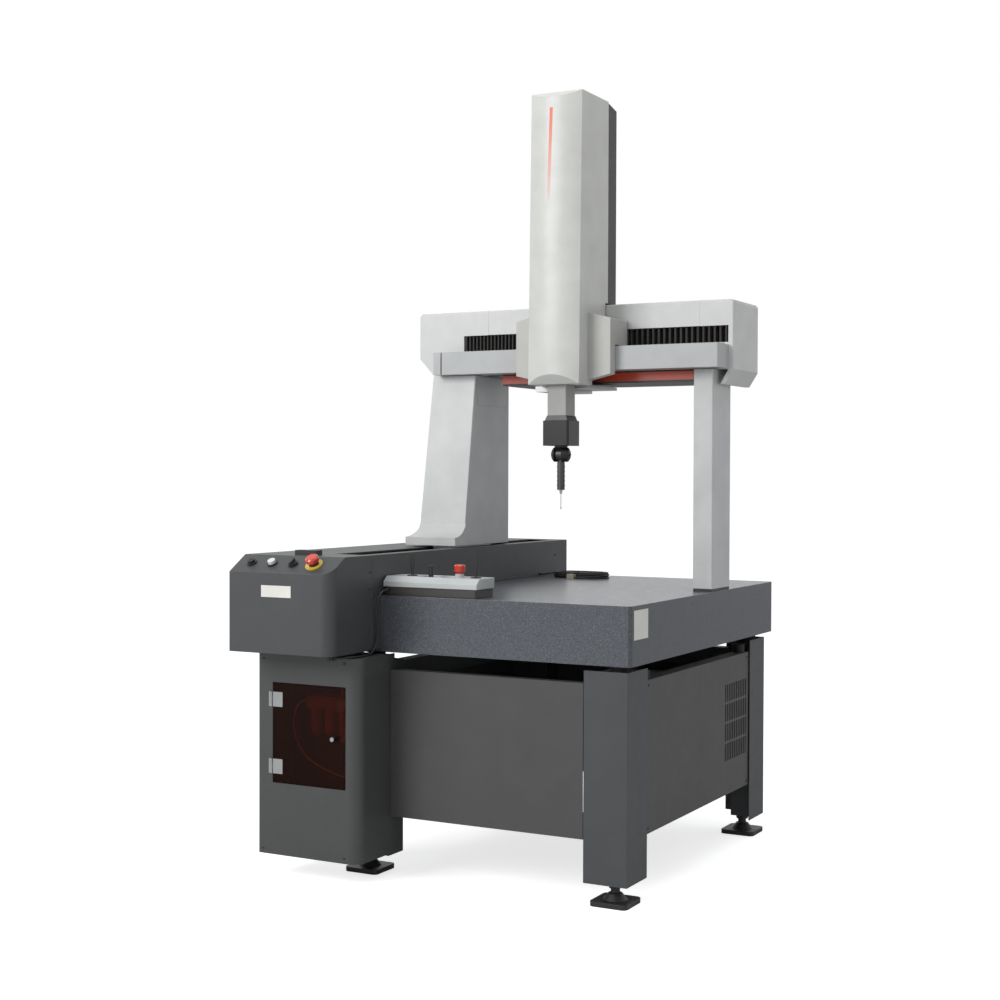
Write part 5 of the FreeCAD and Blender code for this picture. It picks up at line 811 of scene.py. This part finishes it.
@dataclass
class Fasteners:
    """Screw heads in rows on the covers."""

    head_radius: float = 3.2 * MM

    def build(self) -> None:
        """Seats the screws of the housing's side, the panel louvre and the cabinet."""
        x_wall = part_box("guide_housing")[1][0]
        right = Vector((1, 0, 0))
        front = Vector((0, -1, 0))
        side = [Vector((x_wall, y * MM, z * MM)) for y, z in ((-490, 769), (611, 831.6))]
        self.group("housing_screws", side, right, "stand", Coat.HOUSING_DARK)
        box_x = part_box("control_box")[1][0]
        box_screws = [Vector((box_x, y * MM, z * MM)) for y, z in ((-507, 832), (-507, 787.5))]
        self.group("control_box_screws", box_screws, right, "stand", Coat.HOUSING_DARK)
        low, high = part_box("right_panel")
        inset = 14 * MM
        corners = [Vector((high[0], y, z)) for y in (low[1] + inset, high[1] - inset)
                   for z in (low[2] + inset, high[2] - inset)]
        self.group("right_panel_screws", corners, right, "stand", Coat.PANEL_DARK)
        low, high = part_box("cabinet_shell")
        corners = [Vector((x, low[1], z)) for x in (low[0] + inset, high[0] - 3.2 * inset)
                   for z in (low[2] + inset, high[2] - inset)]
        self.group("cabinet_screws", corners, front, "stand", Coat.CABINET_DARK)

    def group(self, name: str, places: Sequence[Vector], axis: Vector, body: str, coat: Coat) -> None:
        """Makes one piece of several screws."""
        heads = [screw(f"{name}_{k}", place, axis, self.head_radius) for k, place in enumerate(places)]
        deselect_all()
        for head in heads:
            head.select_set(True)
        bpy.context.view_layer.objects.active = heads[0]
        bpy.ops.object.join()
        heads[0].name = name
        add_piece(heads[0], body, coat, 0.2)


@dataclass
class BarePlates:
    """Blank rating plates on the control box and on the table's side."""

    thickness: float = 0.6 * MM

    def build(self) -> None:
        """Adds both plates."""
        front_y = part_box("control_box")[0][1]
        plate = block("control_box_plate", (-449.8 * MM, front_y - self.thickness, 771 * MM),
                      (-354.4 * MM, front_y + self.thickness, 802 * MM))
        add_piece(plate, "stand", Coat.PLATE, 0.2)
        side_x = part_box("granite_table")[1][0]
        plate = block("table_side_plate", (side_x - self.thickness, -437 * MM, 681 * MM),
                      (side_x + self.thickness, -348 * MM, 756 * MM))
        add_piece(plate, "stand", Coat.PLATE, 0.2)


@dataclass
class PendantDetails:
    """Paddle grips on the sticks, their boots, and the keypad in the well."""

    paddle_width: float = 11 * MM
    paddle_depth: float = 8 * MM
    paddle_height: float = 34 * MM
    keypad_inset: float = 3 * MM
    key_rows: int = 3
    key_columns: int = 7

    def build(self) -> None:
        """Adds the grips, boots and keys."""
        for side in ("left", "right"):
            self.paddle(side)
            self.boot(side)
        self.keypad()

    def paddle(self, side: str) -> None:
        """Seats a flat grip on one stick, waisted below its top."""
        low, high = (Vector(corner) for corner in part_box(f"pendant_stick_{side}"))
        middle = (low + high) / 2
        grip = block(f"stick_{side}_grip",
                     (middle.x - self.paddle_width / 2, middle.y - self.paddle_depth / 2,
                      high.z - self.paddle_height),
                     (middle.x + self.paddle_width / 2, middle.y + self.paddle_depth / 2, high.z))
        bpy.ops.object.mode_set(mode="EDIT")
        bpy.ops.mesh.select_mode(type="FACE")
        bpy.ops.mesh.select_all(action="DESELECT")
        bpy.ops.object.mode_set(mode="OBJECT")
        for face in grip.data.polygons:
            face.select = face.normal.z < -0.9
        bpy.ops.object.mode_set(mode="EDIT")
        bpy.ops.mesh.extrude_region_move(TRANSFORM_OT_translate={"value": (0, 0, -10 * MM)})
        bpy.ops.transform.resize(value=(0.6, 0.75, 1.0))
        bpy.ops.object.mode_set(mode="OBJECT")
        add_piece(grip, f"stick_{side}", Coat.BLACK_PLASTIC, 1.2)

    def boot(self, side: str) -> None:
        """Lays a rubber ring round the stick's opening."""
        low, high = (Vector(corner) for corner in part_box(f"pendant_stick_{side}"))
        middle = (low + high) / 2
        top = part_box("pendant_cover")[1][2] - 10 * MM
        deselect_all()
        bpy.ops.mesh.primitive_torus_add(location=(middle.x, middle.y, top + 0.6 * MM),
                                         major_radius=13.2 * MM, minor_radius=1.6 * MM,
                                         major_segments=40, minor_segments=10)
        ring = bpy.context.object
        ring.name = f"stick_{side}_boot"
        make_active(ring)
        bpy.ops.object.transform_apply(location=True, rotation=True, scale=True)
        bpy.ops.object.shade_smooth()
        paint(ring, Coat.RUBBER)
        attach(ring, "stand")
        LOG.info("added %s", ring.name)

    def keypad(self) -> None:
        """Fills the well with rows of grey keys."""
        x0, x1 = -142 * MM, -38 * MM
        y0, y1 = -423 * MM, -361 * MM
        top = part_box("pendant_base")[1][2] + 20 * MM
        inset = self.keypad_inset
        keys = []
        pitch_x = (x1 - x0 - 2 * inset) / self.key_columns
        pitch_y = (y1 - y0 - 2 * inset) / self.key_rows
        for column in range(self.key_columns):
            for row in range(self.key_rows):
                cx = x0 + inset + (column + 0.5) * pitch_x
                cy = y0 + inset + (row + 0.5) * pitch_y
                if abs(cx + 104.5 * MM) < 14 * MM and abs(cy + 400 * MM) < 14 * MM:
                    continue
                keys.append(block(f"key_{column}_{row}",
                                  (cx - 0.38 * pitch_x, cy - 0.36 * pitch_y, top - 1 * MM),
                                  (cx + 0.38 * pitch_x, cy + 0.36 * pitch_y, top + 1.6 * MM)))
        deselect_all()
        for key in keys:
            key.select_set(True)
        bpy.context.view_layer.objects.active = keys[0]
        bpy.ops.object.join()
        keys[0].name = "pendant_keys"
        add_piece(keys[0], "stand", Coat.KEYPAD, 0.5)


@dataclass
class StrainReliefs:
    """A tapered sleeve where the pendant's cord leaves its housing."""

    length: float = 20 * MM

    def build(self) -> None:
        """Adds the pendant cord's sleeve."""
        start = Vector((-208 * MM, -460 * MM, 783 * MM))
        self.sleeve("pendant_cord_relief", start, Vector((0, -1, 0)), 11 * MM, 4.6 * MM, 3.4 * MM)

    def sleeve(self, name: str, start: Vector, axis: Vector, length: float, wide: float,
               narrow: float) -> None:
        """Models one tapered sleeve round the first stretch of a cord."""
        deselect_all()
        bpy.ops.mesh.primitive_cone_add(vertices=32, radius1=wide, radius2=narrow, depth=length,
                                        location=(0, 0, length / 2))
        sleeve = bpy.context.object
        sleeve.name = name
        make_active(sleeve)
        bpy.ops.object.transform_apply(location=True, rotation=True, scale=True)
        sleeve.matrix_world = Matrix.Translation(start) @ axis.to_track_quat("Z", "Y").to_matrix().to_4x4()
        bpy.ops.object.transform_apply(location=True, rotation=True, scale=True)
        add_piece(sleeve, "stand", Coat.RUBBER, 0.4)


def main() -> None:
    """Builds the studio and dresses the machine."""
    logging.basicConfig(level=logging.INFO)
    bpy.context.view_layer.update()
    Studio().build()
    Leads().build()
    Dressing().build()
    Bellows("bellows_left", 20).build()
    Bellows("bellows_right", 18).build()
    Fasteners().build()
    BarePlates().build()
    PendantDetails().build()
    StrainReliefs().build()


if __name__ == "__main__":
    main()
